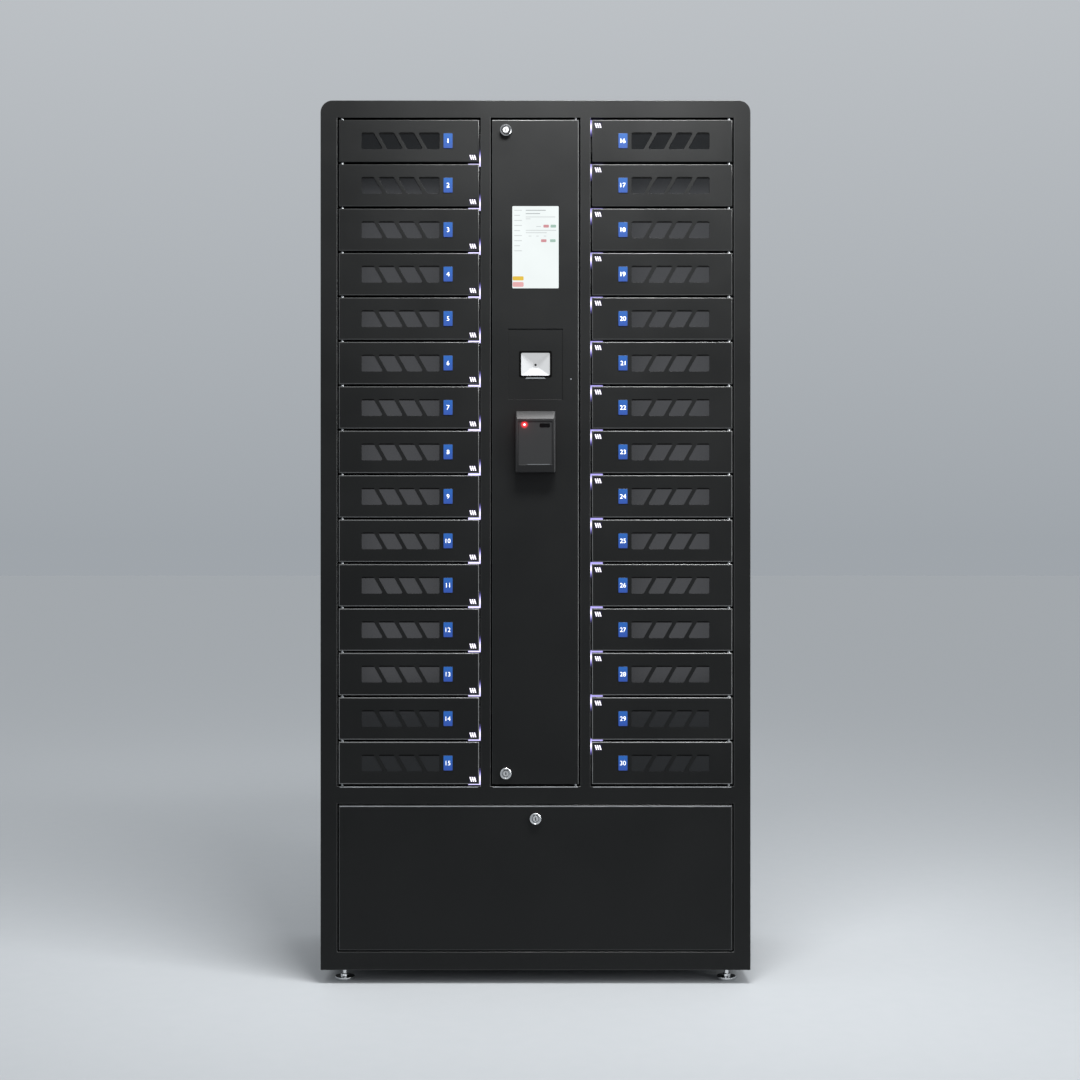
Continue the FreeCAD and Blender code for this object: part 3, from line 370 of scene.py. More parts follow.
def guide_glow(name, start, span, foot, peak, head):
    """Clear block lit by one lamp at the peak of a ramp, repeated at the row pitch."""
    material, tree, shader = new_material(name, Base_Color=linear("#2b2a3a"), Roughness=0.35)
    where = add(tree, "ShaderNodeTexCoord").outputs["Object"]
    height = add(tree, "ShaderNodeSeparateXYZ", {"Vector": where}).outputs["Z"]
    above = add(tree, "ShaderNodeMath", {0: height, 1: start}, operation="SUBTRACT")
    rows = add(tree, "ShaderNodeMath", {0: above.outputs[0], 1: row_pitch}, operation="DIVIDE")
    place = add(tree, "ShaderNodeMath", {0: rows.outputs[0]}, operation="FRACT")
    along = add(tree, "ShaderNodeMapRange", {"Value": place.outputs[0], "From Max": span / row_pitch})
    fade = add(tree, "ShaderNodeValToRGB", {"Fac": along.outputs["Result"]})
    fade.color_ramp.interpolation = "EASE"
    fade.color_ramp.elements[0].color = (foot, foot, foot, 1)
    fade.color_ramp.elements[1].color = (head, head, head, 1)
    fade.color_ramp.elements.new(peak).color = (1, 1, 1, 1)
    power = add(tree, "ShaderNodeMapRange", {"Value": fade.outputs["Color"], "To Max": GUIDE_PEAK})
    tint = add(tree, "ShaderNodeMix", {
        "Factor": fade.outputs["Color"], "A": linear("#8674ff"), "B": linear("#e4deff")}, data_type="RGBA")
    tree.links.new(tint.outputs["Result"], shader.inputs["Emission Color"])
    tree.links.new(power.outputs["Result"], shader.inputs["Emission Strength"])
    return material


# For each column: the light at a block's foot, the lamp's place along the block, and the light at its head.
LEFT_RAMP = (0.75, 0.4, 0.04)
RIGHT_RAMP = (0.04, 0.6, 0.45)
GUIDE_MARGIN = 0.05 * MM
guides = solids("led_light_guides")
columns = []
for side, ramp in ((-1, LEFT_RAMP), (1, RIGHT_RAMP)):
    low, high = min(((low, high) for _, low, high in guides if low.x * side > 0), key=lambda b: b[0].z)
    name = f"light_guide_violet_{len(columns)}"
    columns.append(guide_glow(name, low.z - GUIDE_MARGIN, high.z - low.z, *ramp))
mesh = dress("led_light_guides", *columns)
for faces, low, high in guides:
    for face in faces:
        mesh.polygons[face].material_index = 0 if low.x < 0 else 1
print("light guides", len(guides))

# %% [markdown]
# ## Finishing the doors
# On each door the solids are told apart by their boxes: the number plate stands in front of the front plane,
# the striker reaches far back, the pane is wide and thin, the lens small and thin, and the tray is the rest.
# The tray's folded-back sides get the near-black coat of the gaps, painted shade, and its bends get the coat
# that is painted paler towards the floor, a painted highlight.

# %% Door finishes
PROUD = 0.2 * MM
STRIKER_REACH = 30 * MM
PANE_WIDTH = 100 * MM
THIN = 5 * MM
TRAY, PANE, PLATE, LENS, STRIKER, FOLD_SHADE = range(6)
plates = {}
lenses = {}
for name in door_names:
    mesh = dress(name, door_coat, smoked_pane, plate_navy, lens_glow, zinc, gap_shade_coat, lower_bend_painted_highlight)
    for faces, low, high in solids(name):
        size = high - low
        kind = TRAY
        if low.y < front_plane - PROUD:
            kind = PLATE
            plates[name] = (low, high)
        elif size.y > STRIKER_REACH:
            kind = STRIKER
        elif size.y < THIN and size.x > PANE_WIDTH:
            kind = PANE
        elif size.y < THIN:
            kind = LENS
            lenses[name] = (low, high)
        for face in faces:
            folded = kind == TRAY and abs(mesh.polygons[face].normal.y) < SIDEWAYS
            mesh.polygons[face].material_index = FOLD_SHADE if folded else kind
print("plates", len(plates), "lenses", len(lenses))

# %% [markdown]
# ## The scanner's funnel
# The hood is one moulding with two colours to the eye: a white pyramid that bounces light onto the code, and
# a black rim round it. The faces of the pyramid lie behind the rim and inside the mouth.

# %% Scanner finishes
FUNNEL_HALF = 31 * MM
LEANING = 0.1
rim_black = moulded("flocked_black_rim", "#020202", "#040404", 0.95, Specular_IOR_Level=0.05)
mesh = dress("scanner_reflector", rim_black, white_abs)
hood_low, hood_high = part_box("scanner_reflector")
rim = hood_low.y
hood_back = hood_high.y
funnel_faces = 0
for faces, low, high in solids("scanner_reflector"):
    whole = high.y > hood_back - PROUD
    for face in faces:
        middle = mesh.polygons[face].center
        inside = rim + PROUD < middle.y < hood_back - PROUD and abs(middle.x) < FUNNEL_HALF
        if (inside and abs(mesh.polygons[face].normal.y) > LEANING) or not whole:
            mesh.polygons[face].material_index = 1
            funnel_faces += 1
print("white faces", funnel_faces)

# %% [markdown]
# ## The card reader
# The case is one moulding with a flat front, a brow and a sunk panel. The red indicator's light spills over
# the panel round it, so the panel glows red near the lamp and fades within a centimetre.

# %% Reader finishes
SPILL_FROM = 2.4 * MM
SPILL_TO = 10 * MM
SPILL_LIGHT = 1.1
PANEL_REACH = 2 * MM
CASE_FRONT, SUNK_PANEL = 1, 2
panel_abs = moulded("charcoal_abs_sunk_panel", "#131415", "#18191a", 0.55, IOR=1.53, Specular_IOR_Level=0.4,
                    Emission_Color=linear("#ff0a1c"))
tree = panel_abs.node_tree
led_low, led_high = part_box("card_reader_led")
where = add(tree, "ShaderNodeTexCoord").outputs["Object"]
away = add(tree, "ShaderNodeVectorMath", {0: where, 1: (led_low + led_high) / 2}, operation="DISTANCE")
spill = add(tree, "ShaderNodeMapRange", {
    "Value": away.outputs["Value"], "From Min": SPILL_FROM, "From Max": SPILL_TO,
    "To Min": SPILL_LIGHT, "To Max": 0.0}, interpolation_type="SMOOTHERSTEP")
tree.links.new(spill.outputs["Result"], tree.nodes["Principled BSDF"].inputs["Emission Strength"])
mesh = dress("card_reader", reader_abs, case_front_shaded_abs, panel_abs)
reader_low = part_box("card_reader")[0]
reader_front = reader_low.y
# Front faces at the case's front take the darker copy, painted shade; those a little behind take the sunk
# panel.
for face in mesh.polygons:
    if face.normal.y < -FACING and face.center.y < reader_front + PANEL_REACH:
        face.material_index = CASE_FRONT if face.center.y < reader_front + PROUD else SUNK_PANEL
print("reader panel faces", sum(face.material_index == SUNK_PANEL for face in mesh.polygons))

# %% [markdown]
# ## Folded and broken edges
# No sheet has a knife edge: bends have a radius and cut edges are rounded by the coat. A bevel gives each
# edge a strip that catches the light from above, which is what draws the bright lines along the tops of the
# doors. The drawing's faces are split at their edges, so a weld comes first, and on the large sheets the
# triangles of a flat face are joined, so that no thin sliver spoils the shading. The outer bends of the trays
# are chosen by a vertex group of the four front corners and get the larger radius.

# %% Edge rounding
WELD_GAP = 0.005 * MM
FLAT_ANGLE = math.radians(0.5)
SHARP_ANGLE = math.radians(50)
BEND_STEPS = 4
EDGE_STEPS = 2


def soften(name, edge, bend=0.0, highlight_edges=False, sheet=False):
    """Weld, round the front bends if asked, round the other sharp edges, and even out the shading."""
    piece = nodes[name]
    weld = piece.modifiers.new("weld", "WELD")
    weld.merge_threshold = WELD_GAP
    if sheet:
        flat = piece.modifiers.new("flat", "DECIMATE")
        flat.decimate_type = "DISSOLVE"
        flat.angle_limit = FLAT_ANGLE
        flat.delimit = {"MATERIAL"}
    if bend:
        low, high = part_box(name)
        corners = [v.index for v in piece.data.vertices
                   if abs(v.co.y - front_plane) < PROUD / 10
                   and min(v.co.x - low.x, high.x - v.co.x) < PROUD
                   and min(v.co.z - low.z, high.z - v.co.z) < PROUD]
        piece.vertex_groups.new(name="front_bend").add(corners, 1.0, "REPLACE")
        fold = piece.modifiers.new("bend", "BEVEL")
        fold.limit_method = "VGROUP"
        fold.vertex_group = "front_bend"
        fold.width = bend
        fold.segments = BEND_STEPS
        # The front bends take the node's last finish, a bend coat whose paler colour is a painted highlight.
        fold.material = len(piece.data.materials) - 1
    broken = piece.modifiers.new("edge", "BEVEL")
    broken.limit_method = "ANGLE"
    broken.angle_limit = SHARP_ANGLE
    broken.width = edge
    broken.segments = EDGE_STEPS
    broken.use_clamp_overlap = False
    # The other edges can take that finish too; its paler colour is a painted highlight along them.
    if highlight_edges:
        broken.material = len(piece.data.materials) - 1
    piece.modifiers.new("normals", "WEIGHTED_NORMAL")


for name in door_names:
    soften(name, edge=0.3 * MM, bend=2.0 * MM)
soften("centre_door", edge=0.4 * MM, bend=2.2 * MM, sheet=True)
soften("service_flap", edge=0.35 * MM, bend=2.2 * MM, sheet=True)
soften("front_frame", edge=0.9 * MM, highlight_edges=True, sheet=True)
soften("outer_wrap", edge=0.6 * MM, highlight_edges=True)
soften("back_panel", edge=0.35 * MM, sheet=True)
small_edges = {
    0.5 * MM: ["scanner_plate"],
    0.4 * MM: ["card_reader", "card_reader_led"],
    0.9 * MM: ["centre_lock_barrels", "flap_lock_barrel"],
    0.25 * MM: ["upper_lock_plug", "lower_lock_plug", "flap_lock_plug"],
    0.8 * MM: feet,
    0.6 * MM: ["cable_gland"],
}
for edge, names in small_edges.items():
    for name in names:
        soften(name, edge)
print("softened", sum(1 for piece in nodes.values() if piece.modifiers))

# %% [markdown]
# ## Making flat-fronted pieces
# Labels, lit bars and bezels are all flat outlines with a thickness. One function turns a list of outlines
# in the XZ plane into one piece that rides on a body, and another draws a rectangle with round corners.

# %% Round outlines
CORNER_STEPS = 5


def round_box(x, z, width, height, radius):
    """Outline of a rectangle about a middle point, with round corners."""
    points = []
    for turn, (sx, sz) in enumerate(((1, 1), (-1, 1), (-1, -1), (1, -1))):
        for step in range(CORNER_STEPS + 1):
            angle = math.pi / 2 * (turn + step / CORNER_STEPS)
            points.append((
                x + sx * (width / 2 - radius) + radius * math.cos(angle),
                z + sz * (height / 2 - radius) + radius * math.sin(angle)))
    return points


print("corners of a round box", len(round_box(0, 0, 1, 1, 0.1)))

# %% Pieces that ride
def piece(name, mesh, body, slot, *finishes):
    """Put a finished mesh into the scene, on a body, with its materials."""
    item = bpy.data.objects.new(name, mesh)
    bpy.context.scene.collection.objects.link(item)
    for finish in finishes:
        mesh.materials.append(finish)
    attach(item, body)
    return item


def closed(name, form):
    """Keep a built form as a mesh, its faces turned outwards."""
    bmesh.ops.recalc_face_normals(form, faces=form.faces)
    mesh = bpy.data.meshes.new(name)
    form.to_mesh(mesh)
    form.free()
    return mesh


# %% Prisms and rings
def prisms(name, shapes):
    """One mesh from outlines in the XZ plane, each with its back, its front and a material number."""
    form = bmesh.new()
    for corners, back, front, finish in shapes:
        rear = [form.verts.new((x, back, z)) for x, z in corners]
        fore = [form.verts.new((x, front, z)) for x, z in corners]
        count = len(corners)
        faces = [form.faces.new(rear), form.faces.new(fore)]
        for i in range(count):
            after = (i + 1) % count
            faces.append(form.faces.new((rear[i], rear[after], fore[after], fore[i])))
        for face in faces:
            face.material_index = finish
    return closed(name, form)


def ring(name, outer, inner, back, front):
    """One mesh of a flat frame between two outlines with equally many corners."""
    form = bmesh.new()
    loops = [[form.verts.new((x, y, z)) for x, z in outline]
             for outline, y in ((outer, back), (outer, front), (inner, front), (inner, back))]
    for k, loop in enumerate(loops):
        other = loops[(k + 1) % 4]
        for i in range(len(loop)):
            after = (i + 1) % len(loop)
            form.faces.new((loop[i], loop[after], other[after], other[i]))
    return closed(name, form)


trial = prisms("trial", [(round_box(0, 0, 1, 1, 0.1), 0, 1, 0)])
print("faces of a round prism", len(trial.polygons))
bpy.data.meshes.remove(trial)

# %% [markdown]
# ## Labels
# A blue label with round corners lies on each plate. It glows a little, a painted light, and the glow is
# paler at the top, a painted highlight. The glow's colour runs over each label's own height, so all thirty
# look alike.

# %% Labels
LABEL_INSET = 0.7 * MM
LABEL_RADIUS = 1.8 * MM
LABEL_WALL = 0.3 * MM
label_blue_painted_glow = moulded("blue_label_film_painted_glow", "#10284a", "#122d50", 0.4, IOR=1.5, Specular_IOR_Level=0.4,
                     Emission_Strength=0.66)
tree = label_blue_painted_glow.node_tree
place = add(tree, "ShaderNodeTexCoord").outputs["Generated"]
rise = add(tree, "ShaderNodeSeparateXYZ", {"Vector": place}).outputs["Z"]
painted_glow_tint = add(tree, "ShaderNodeMix", {
    "Factor": rise, "A": linear("#2c4cb4"), "B": linear("#1c6ac6")}, data_type="RGBA")
tree.links.new(painted_glow_tint.outputs["Result"], tree.nodes["Principled BSDF"].inputs["Emission Color"])
for name, (low, high) in plates.items():
    size = high - low
    outline = round_box((low.x + high.x) / 2, (low.z + high.z) / 2,
                        size.x - 2 * LABEL_INSET, size.z - 2 * LABEL_INSET, LABEL_RADIUS)
    label = prisms("label", [(outline, low.y, low.y - LABEL_WALL, 0)])
    piece(f"label_{name[-2:]}", label, f"{name}_body", "white_plastic", label_blue_painted_glow)
print("labels", len(plates))

# %% [markdown]
# ## Door numbers
# White figures, about nine millimetres high and bold, sit in the middle of each label. A text object gives
# their outlines; it is thickened a little, turned upright and kept as a mesh.

# %% Door numbers
FIGURE_HEIGHT = 9.2 * MM
FIGURE_WALL = 0.25 * MM
# The figures glow a little: painted light that keeps the print bright white.
figure_white_painted_glow = moulded("white_printed_figures_painted_glow", "#f4f6fa", "#ffffff", 0.4, IOR=1.5,
                       Emission_Color=linear("#ffffff"), Emission_Strength=0.5)


def figures(text, centre):
    """Upright mesh of a number, centred on a point of the plate's face."""
    curve = bpy.data.curves.new("figures", "FONT")
    curve.body = text
    curve.extrude = FIGURE_WALL / 2 / FIGURE_HEIGHT
    item = bpy.data.objects.new("figures", curve)
    bpy.context.scene.collection.objects.link(item)
    bpy.context.view_layer.update()
    mesh = bpy.data.meshes.new_from_object(item.evaluated_get(bpy.context.evaluated_depsgraph_get()))
    bpy.data.objects.remove(item)
    low = [min(v.co[k] for v in mesh.vertices) for k in range(3)]
    high = [max(v.co[k] for v in mesh.vertices) for k in range(3)]
    scale = FIGURE_HEIGHT / (high[1] - low[1])
    for v in mesh.vertices:
        u = (v.co.x - (low[0] + high[0]) / 2) * scale
        w = (v.co.y - (low[1] + high[1]) / 2) * scale
        out = FIGURE_WALL if v.co.z > 0 else 0.0
        v.co = (centre.x + u, centre.y - out, centre.z + w)
    return mesh


for number, name in enumerate(door_names, 1):
    low, high = plates[name]
    face = Vector(((low.x + high.x) / 2, low.y - LABEL_WALL, (low.z + high.z) / 2))
    piece(f"number_{number:02d}", figures(str(number), face), f"{name}_body", "white_plastic", figure_white_painted_glow)
print("numbers", len(door_names))

# %% [markdown]
# ## Status lights
# In the corner of every door a small window shows slanted bars of light. The bars stand on the lens behind
# the door's skin, so they move with the door and stay sunk in the window.

# %% Status bars
BARS = 3
BAR_HEIGHT = 9.5 * MM
BAR_WIDTH = 2.4 * MM
BAR_PITCH = 4.4 * MM
BAR_LEAN = 3.0 * MM
BAR_WALL = 0.6 * MM
for name in door_names:
    low, high = lenses[name]
    middle_x = (low.x + high.x) / 2
    middle_z = (low.z + high.z) / 2
    shapes = []
    for step in range(BARS):
        x = middle_x + (step - (BARS - 1) / 2) * BAR_PITCH
        corners = [
            (x + BAR_LEAN / 2 - BAR_WIDTH / 2, middle_z - BAR_HEIGHT / 2),
            (x + BAR_LEAN / 2 + BAR_WIDTH / 2, middle_z - BAR_HEIGHT / 2),
            (x - BAR_LEAN / 2 + BAR_WIDTH / 2, middle_z + BAR_HEIGHT / 2),
            (x - BAR_LEAN / 2 - BAR_WIDTH / 2, middle_z + BAR_HEIGHT / 2),
        ]
        shapes.append((corners, low.y, low.y - BAR_WALL, 0))
    piece(f"status_bars_{name[-2:]}", prisms("bars", shapes), f"{name}_body", "lit_lens", status_white)
print("status bars", BARS * len(door_names))

# %% [markdown]
# ## The display
# The touch glass is black to its edge, and the lit part is a white page with a menu down the left, grey lines
# that stand for words, four small buttons and two larger ones. It is a generic page, so nothing on it can be
# read.

# %% Page colours
PAGE_PATCH = 30 * MM
page_colours = [
    lit("screen_pale_grey", "#d8dede", 0.82, 0.88, PAGE_PATCH),
    lit("screen_mid_grey", "#b9c0c2", 0.66, 0.74, PAGE_PATCH),
    lit("screen_soft_red", "#e39aa0", 0.78, 0.86, PAGE_PATCH),
    lit("screen_soft_green", "#aed2c2", 0.78, 0.86, PAGE_PATCH),
    lit("screen_yellow", "#f2c833", 0.85, 0.95, PAGE_PATCH),
    lit("screen_pink", "#f3b4b4", 0.85, 0.95, PAGE_PATCH),
]
WHITE, PALE, GREY, RED, GREEN, YELLOW, PINK = range(7)
print("page colours", 1 + len(page_colours))

# %% Touch glass
touch_glass = moulded("black_touch_glass", "#08090a", "#0b0c0d", 0.06, texture=40 * MM, height=0.01 * MM)
glass_low, glass_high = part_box("display_panel")
glass_front = glass_low.y
mesh = nodes["display_panel"].data
for faces, low, high in solids("display_panel"):
    if low.y < glass_front + PROUD:
        mesh.materials.append(touch_glass)
        for face in faces:
            mesh.polygons[face].material_index = len(mesh.materials) - 1
print("display finishes", len(mesh.materials))

# %% Display page
screen_x = 0.0
screen_z = (glass_low.z + glass_high.z) / 2
SCREEN_WIDTH = 97 * MM
SCREEN_HEIGHT = 172 * MM
SCREEN_RADIUS = 2 * MM
PAGE = 0.15 * MM
INK = 0.1 * MM
page_front = glass_front - PAGE
outline = round_box(screen_x, screen_z, SCREEN_WIDTH, SCREEN_HEIGHT, SCREEN_RADIUS)
shapes = [(outline, glass_front, page_front, WHITE)]


def printed(left, top, width, height, finish):
    """A small printed block, in millimetres from the page's upper left corner."""
    x = screen_x - SCREEN_WIDTH / 2 + (left + width / 2) * MM
    z = screen_z + SCREEN_HEIGHT / 2 - (top + height / 2) * MM
    radius = min(width, height) / 4 * MM
    shapes.append((round_box(x, z, width * MM, height * MM, radius), page_front, page_front - INK, finish))


MENU_ROWS = 9
MENU_LEFT, MENU_TOP, MENU_PITCH = 4, 8, 10.6
MENU_HEIGHT, LINE_HEIGHT = 1.6, 1.5
LONG_WORD, SHORT_WORD = 16, 12
BUTTON = (11.5, 6)
for row in range(MENU_ROWS):
    word = SHORT_WORD if row % 3 == 1 else LONG_WORD
    printed(MENU_LEFT, MENU_TOP + MENU_PITCH * row, word, MENU_HEIGHT, PALE)
for left, top, width, shade in (
    (28, 8, 42, GREY), (28, 15, 30, GREY), (28, 22, 62, PALE), (28, 26, 10, PALE), (50, 42, 10, PALE),
    (28, 50, 64, PALE), (28, 55, 44, PALE), (34, 62, 6, PALE), (50, 62, 5, PALE), (66, 62, 5, PALE),
):
    printed(left, top, width, LINE_HEIGHT, shade)
for left, top, shade in ((65, 39, RED), (80, 39, GREEN), (60, 69.5, RED), (79, 69.5, GREEN)):
    printed(left, top, *BUTTON, shade)
printed(0.6, 147, 23, 8.6, YELLOW)
printed(0.6, 159, 23, 10, PINK)
piece("display_page", prisms("page", shapes), "centre_leaf", "lit_lens", screen_white, *page_colours)
print("page blocks", len(shapes))

# %% [markdown]
# ## Rounded vent corners
# A punch leaves the corners of the vent slots round. The drawing has them sharp, so every corner gets a small
# fillet plate in the thickness of the skin, and a black strip along the top of each slot is painted shadow.
# The slots are found as the holes in a door's front face: an edge that only one front face uses lies on a
# hole or on the outside.

# %% Holes in a front
HOLE_DIGITS = 5


def front_holes(name):
    """Corner lists of the openings in a door's front face."""
    mesh = nodes[name].data
    spot = [(round(v.co.x, HOLE_DIGITS), round(v.co.z, HOLE_DIGITS)) for v in mesh.vertices]
    used = {}
    for face in mesh.polygons:
        if face.normal.y < -FACING and abs(face.center.y - front_plane) < PROUD / 10:
            for a, b in face.edge_keys:
                key = tuple(sorted((spot[a], spot[b])))
                used[key] = used.get(key, 0) + 1
    beside = {}
    for (a, b), times in used.items():
        if times == 1:
            beside.setdefault(a, []).append(b)
            beside.setdefault(b, []).append(a)
    holes = []
    while beside:
        start = next(iter(beside))
        loop, here = [], start
        while here in beside:
            ways = beside.pop(here)
            loop.append(here)
            here = next((p for p in ways if p in beside), None)
        holes.append(loop)
    return holes


print("loops on a door's front", len(front_holes("door_01")))

# %% Corner webs
SLOT_RADIUS = 3.0 * MM
OVERLAP = 0.5 * MM


def fillet(corner, one, other):
    """Outline of the web between two slot edges and the round that joins them."""
    corner = Vector(corner)
    a = (Vector(one) - corner).normalized()
    b = (Vector(other) - corner).normalized()
    half = a.angle(b) / 2
    reach = SLOT_RADIUS / math.tan(half)
    middle = corner + (a + b).normalized() * SLOT_RADIUS / math.sin(half)
    start = corner + a * reach - middle
    end = corner + b * reach - middle
    sweep = start.angle_signed(end)
    outline = [tuple(corner - (a + b).normalized() * OVERLAP)]
    for step in range(CORNER_STEPS + 1):
        turn = -sweep * step / CORNER_STEPS
        outline.append((middle.x + start.x * math.cos(turn) - start.y * math.sin(turn),
                        middle.y + start.x * math.sin(turn) + start.y * math.cos(turn)))
    return outline


print("corners of a web", len(fillet((0, 0), (1, 0), (0, 1))))

# %% Vent corners and gaskets
SLOT_TALL = 25 * MM
SLOT_WIDE = 100 * MM
SKIN = 1.2 * MM
HAIR = 0.02 * MM
# A black strip between the pane and the skin along the top of each slot: painted shadow that draws the dark
# line there.
slot_shadow_finish = moulded("black_strip_painted_shadow", "#040404", "#070707", 0.95, Specular_IOR_Level=0.1)
SHADOW_TALL = 2.6 * MM
fillets = 0
for name in door_names:
    shapes = []
    shadow_strips = []
    for loop in front_holes(name):
        tall = max(p[1] for p in loop) - min(p[1] for p in loop)
        wide = max(p[0] for p in loop) - min(p[0] for p in loop)
        if len(loop) != 4 or tall < SLOT_TALL or wide > SLOT_WIDE:
            continue
        for i, corner in enumerate(loop):
            web = fillet(corner, loop[i - 1], loop[(i + 1) % 4])
            shapes.append((web, front_plane + SKIN - HAIR, front_plane + HAIR, 0))
        top = max(p[1] for p in loop)
        upper = sorted(p for p in loop if top - p[1] < SLOT_RADIUS)
        lower = sorted(p for p in loop if top - p[1] >= SLOT_RADIUS)
        share = SHADOW_TALL / tall
        under = [tuple(u + (d - u) * share for u, d in zip(one, two)) for one, two in zip(upper, lower)]
        strip = [upper[0], upper[1], under[1], under[0]]
        shadow_strips.append((strip, front_plane + SKIN, front_plane + SKIN / 2, 0))
    fillets += len(shapes)
    if shapes:
        body = f"{name}_body"
        piece(f"vent_corners_{name[-2:]}", prisms("webs", shapes), body, "door_leaf", door_coat)
        piece(f"slot_painted_shadow_{name[-2:]}", prisms("shadow_strips_mesh", shadow_strips), body, "black_plastic", slot_shadow_finish)
print("vent corners", fillets)

# %% [markdown]
# ## Turned pieces
# Washers, lock rims and rivets are round, so a lathe makes them: one closed profile of radius and height is
# spun round an axis at each place where the piece sits.

# %% Lathe
TURN_STEPS = 24
MERGE = 0.001 * MM


def turned(name, profile, spots, axis="y"):
    """One mesh of a closed profile, in millimetres, spun round an axis through each spot."""
    form = bmesh.new()
    for x, y, z in spots:
        rings = []
        for step in range(TURN_STEPS):
            angle = 2 * math.pi * step / TURN_STEPS
            loop = []
            for radius, along in profile:
                u = radius * MM * math.cos(angle)
                v = radius * MM * math.sin(angle)
                w = along * MM
                place = (x + u, y + w, z + v) if axis == "y" else (x + u, y + v, z + w)
                loop.append(form.verts.new(place))
            rings.append(loop)
        for i, loop in enumerate(rings):
            after = rings[(i + 1) % TURN_STEPS]
            for k in range(len(profile)):
                n = (k + 1) % len(profile)
                form.faces.new((loop[k], after[k], after[n], loop[n]))
    bmesh.ops.remove_doubles(form, verts=form.verts, dist=MERGE)
    return closed(name, form)


print("lathe steps", TURN_STEPS)

# %% [markdown]
# ## Hinge washers
# A bright washer sits on the hinge rod in every gap between two doors, and one above the top door. It carries
# the door above and keeps the paint from rubbing.

# %% Hinge washers
WASHER = [(2.6, 0.2), (3.3, 0.0), (3.5, 0.2), (3.5, 2.2), (3.3, 2.4), (2.6, 2.2)]
HINGE_INSET = 7 * MM
ROD_BEHIND = 6 * MM
CLEAR = 0.15 * MM
spots = []
for name in door_names:
    low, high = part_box(name)
    x = low.x + HINGE_INSET if name in left_doors else high.x - HINGE_INSET
    spots.append((x, front_plane + ROD_BEHIND, high.z + CLEAR))
piece("hinge_washers", turned("washers", WASHER, spots, axis="z"), "cabinet", "zinc_steel", zinc)
print("washers", len(spots))

# %% [markdown]
# ## Lock faces
# A cam lock's face has a raised outer rim, a dark seam where the plug turns in the barrel, and two small
# stops for the key's shutter near the top. The keyway is a slim diamond that rides on the plug, so it turns.

# %% Lock faces
RIM = [(9.6, 0.05), (9.6, -0.4), (10.1, -0.9), (11.0, -0.9), (11.7, -0.4), (11.7, 0.05)]
SEAM = [(6.2, 0.05), (6.2, -0.1), (7.2, -0.1), (7.2, 0.05)]
STOP_SIDE = 3.4 * MM
STOP_RISE = 7.6 * MM
STOP_SIZE = (2.8 * MM, 1.8 * MM, 0.5 * MM)
STOP_WALL = 0.2 * MM
for node, body in (("centre_lock_barrels", "centre_leaf"), ("flap_lock_barrel", "flap_leaf")):
    spots = [((low.x + high.x) / 2, low.y, (low.z + high.z) / 2) for _, low, high in solids(node)]
    stops = [(round_box(x + side * STOP_SIDE, z + STOP_RISE, *STOP_SIZE), y, y - STOP_WALL, 0)
             for x, y, z in spots for side in (-1, 1)]
    piece(f"{body}_lock_rims", turned("rims", RIM, spots), body, "lock_chrome", chrome)
    piece(f"{body}_lock_seams", turned("seams", SEAM, spots), body, "black_plastic", black_abs)
    piece(f"{body}_lock_stops", prisms("stops", stops), body, "black_plastic", black_abs)
    print(body, "locks", len(spots))

# %% Keyways
KEY_TALL = 7.0 * MM
KEY_WIDE = 3.0 * MM
KEY_DEPTH = 1 * MM
KEY_PROUD = 0.08 * MM
plugs = ("upper", "lower", "flap")
for plug in plugs:
    _, low, high = min(solids(f"{plug}_lock_plug"), key=lambda solid: solid[1].y)
    x = (low.x + high.x) / 2
    z = (low.z + high.z) / 2
    diamond = [(x, z - KEY_TALL / 2), (x + KEY_WIDE / 2, z), (x, z + KEY_TALL / 2), (x - KEY_WIDE / 2, z)]
    keyway = prisms("keyway", [(diamond, low.y + KEY_DEPTH, low.y - KEY_PROUD, 0)])
    piece(f"{plug}_keyway", keyway, f"{plug}_plug", "black_plastic", black_abs)
print("keyways", len(plugs))

# %% [markdown]
# ## Scanner details
# In the scanner's funnel a dark eye sits in its white ring. A black gasket frames the window, a lip under it
# guides the phone, its pale grey a painted highlight, and a rivet beside the plate holds the scanner's
# bracket.

# %% Scanner details
EYE = [(0, 0.05), (2.6, 0.05), (2.6, -0.2), (1.7, -0.35), (0, -0.4)]
RIVET = [(0, 0.05), (1.7, 0.05), (1.6, -0.3), (1.1, -0.6), (0, -0.7)]
plate_low, plate_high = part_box("scanner_plate")
scan_z = (plate_low.z + plate_high.z) / 2
LENS_WIDTH = 20 * MM
eye_front = min(low.y for _, low, high in solids("scanner_reflector") if high.x - low.x < LENS_WIDTH)
eye_mesh = turned("eye", EYE, [(0, eye_front, scan_z)])
piece("scanner_eye", eye_mesh, "centre_leaf", "black_plastic", black_abs)
GASKET_OUT = (68.6 * MM, 55.0 * MM, 3.5 * MM)
GASKET_IN = (60 * MM, 47.4 * MM, 3 * MM)
GASKET_WALL = 0.4 * MM
mouth = ring("mouth", round_box(0, scan_z, *GASKET_OUT), round_box(0, scan_z, *GASKET_IN),
             plate_low.y, plate_low.y - GASKET_WALL)
piece("scanner_gasket", mouth, "centre_leaf", "black_plastic", rim_black)
LIP_TOP = 18.5 * MM
LIP_FOOT = 22 * MM
LIP_HEIGHT = 3.4 * MM
LIP_WALL = 1.2 * MM
LIP_BELOW = 27.5 * MM
lip_z = scan_z - LIP_BELOW
lip = [(-LIP_TOP, lip_z), (LIP_TOP, lip_z), (LIP_FOOT, lip_z - LIP_HEIGHT), (-LIP_FOOT, lip_z - LIP_HEIGHT)]
lip_mesh = prisms("lip", [(lip, plate_low.y, plate_low.y - LIP_WALL, 0)])
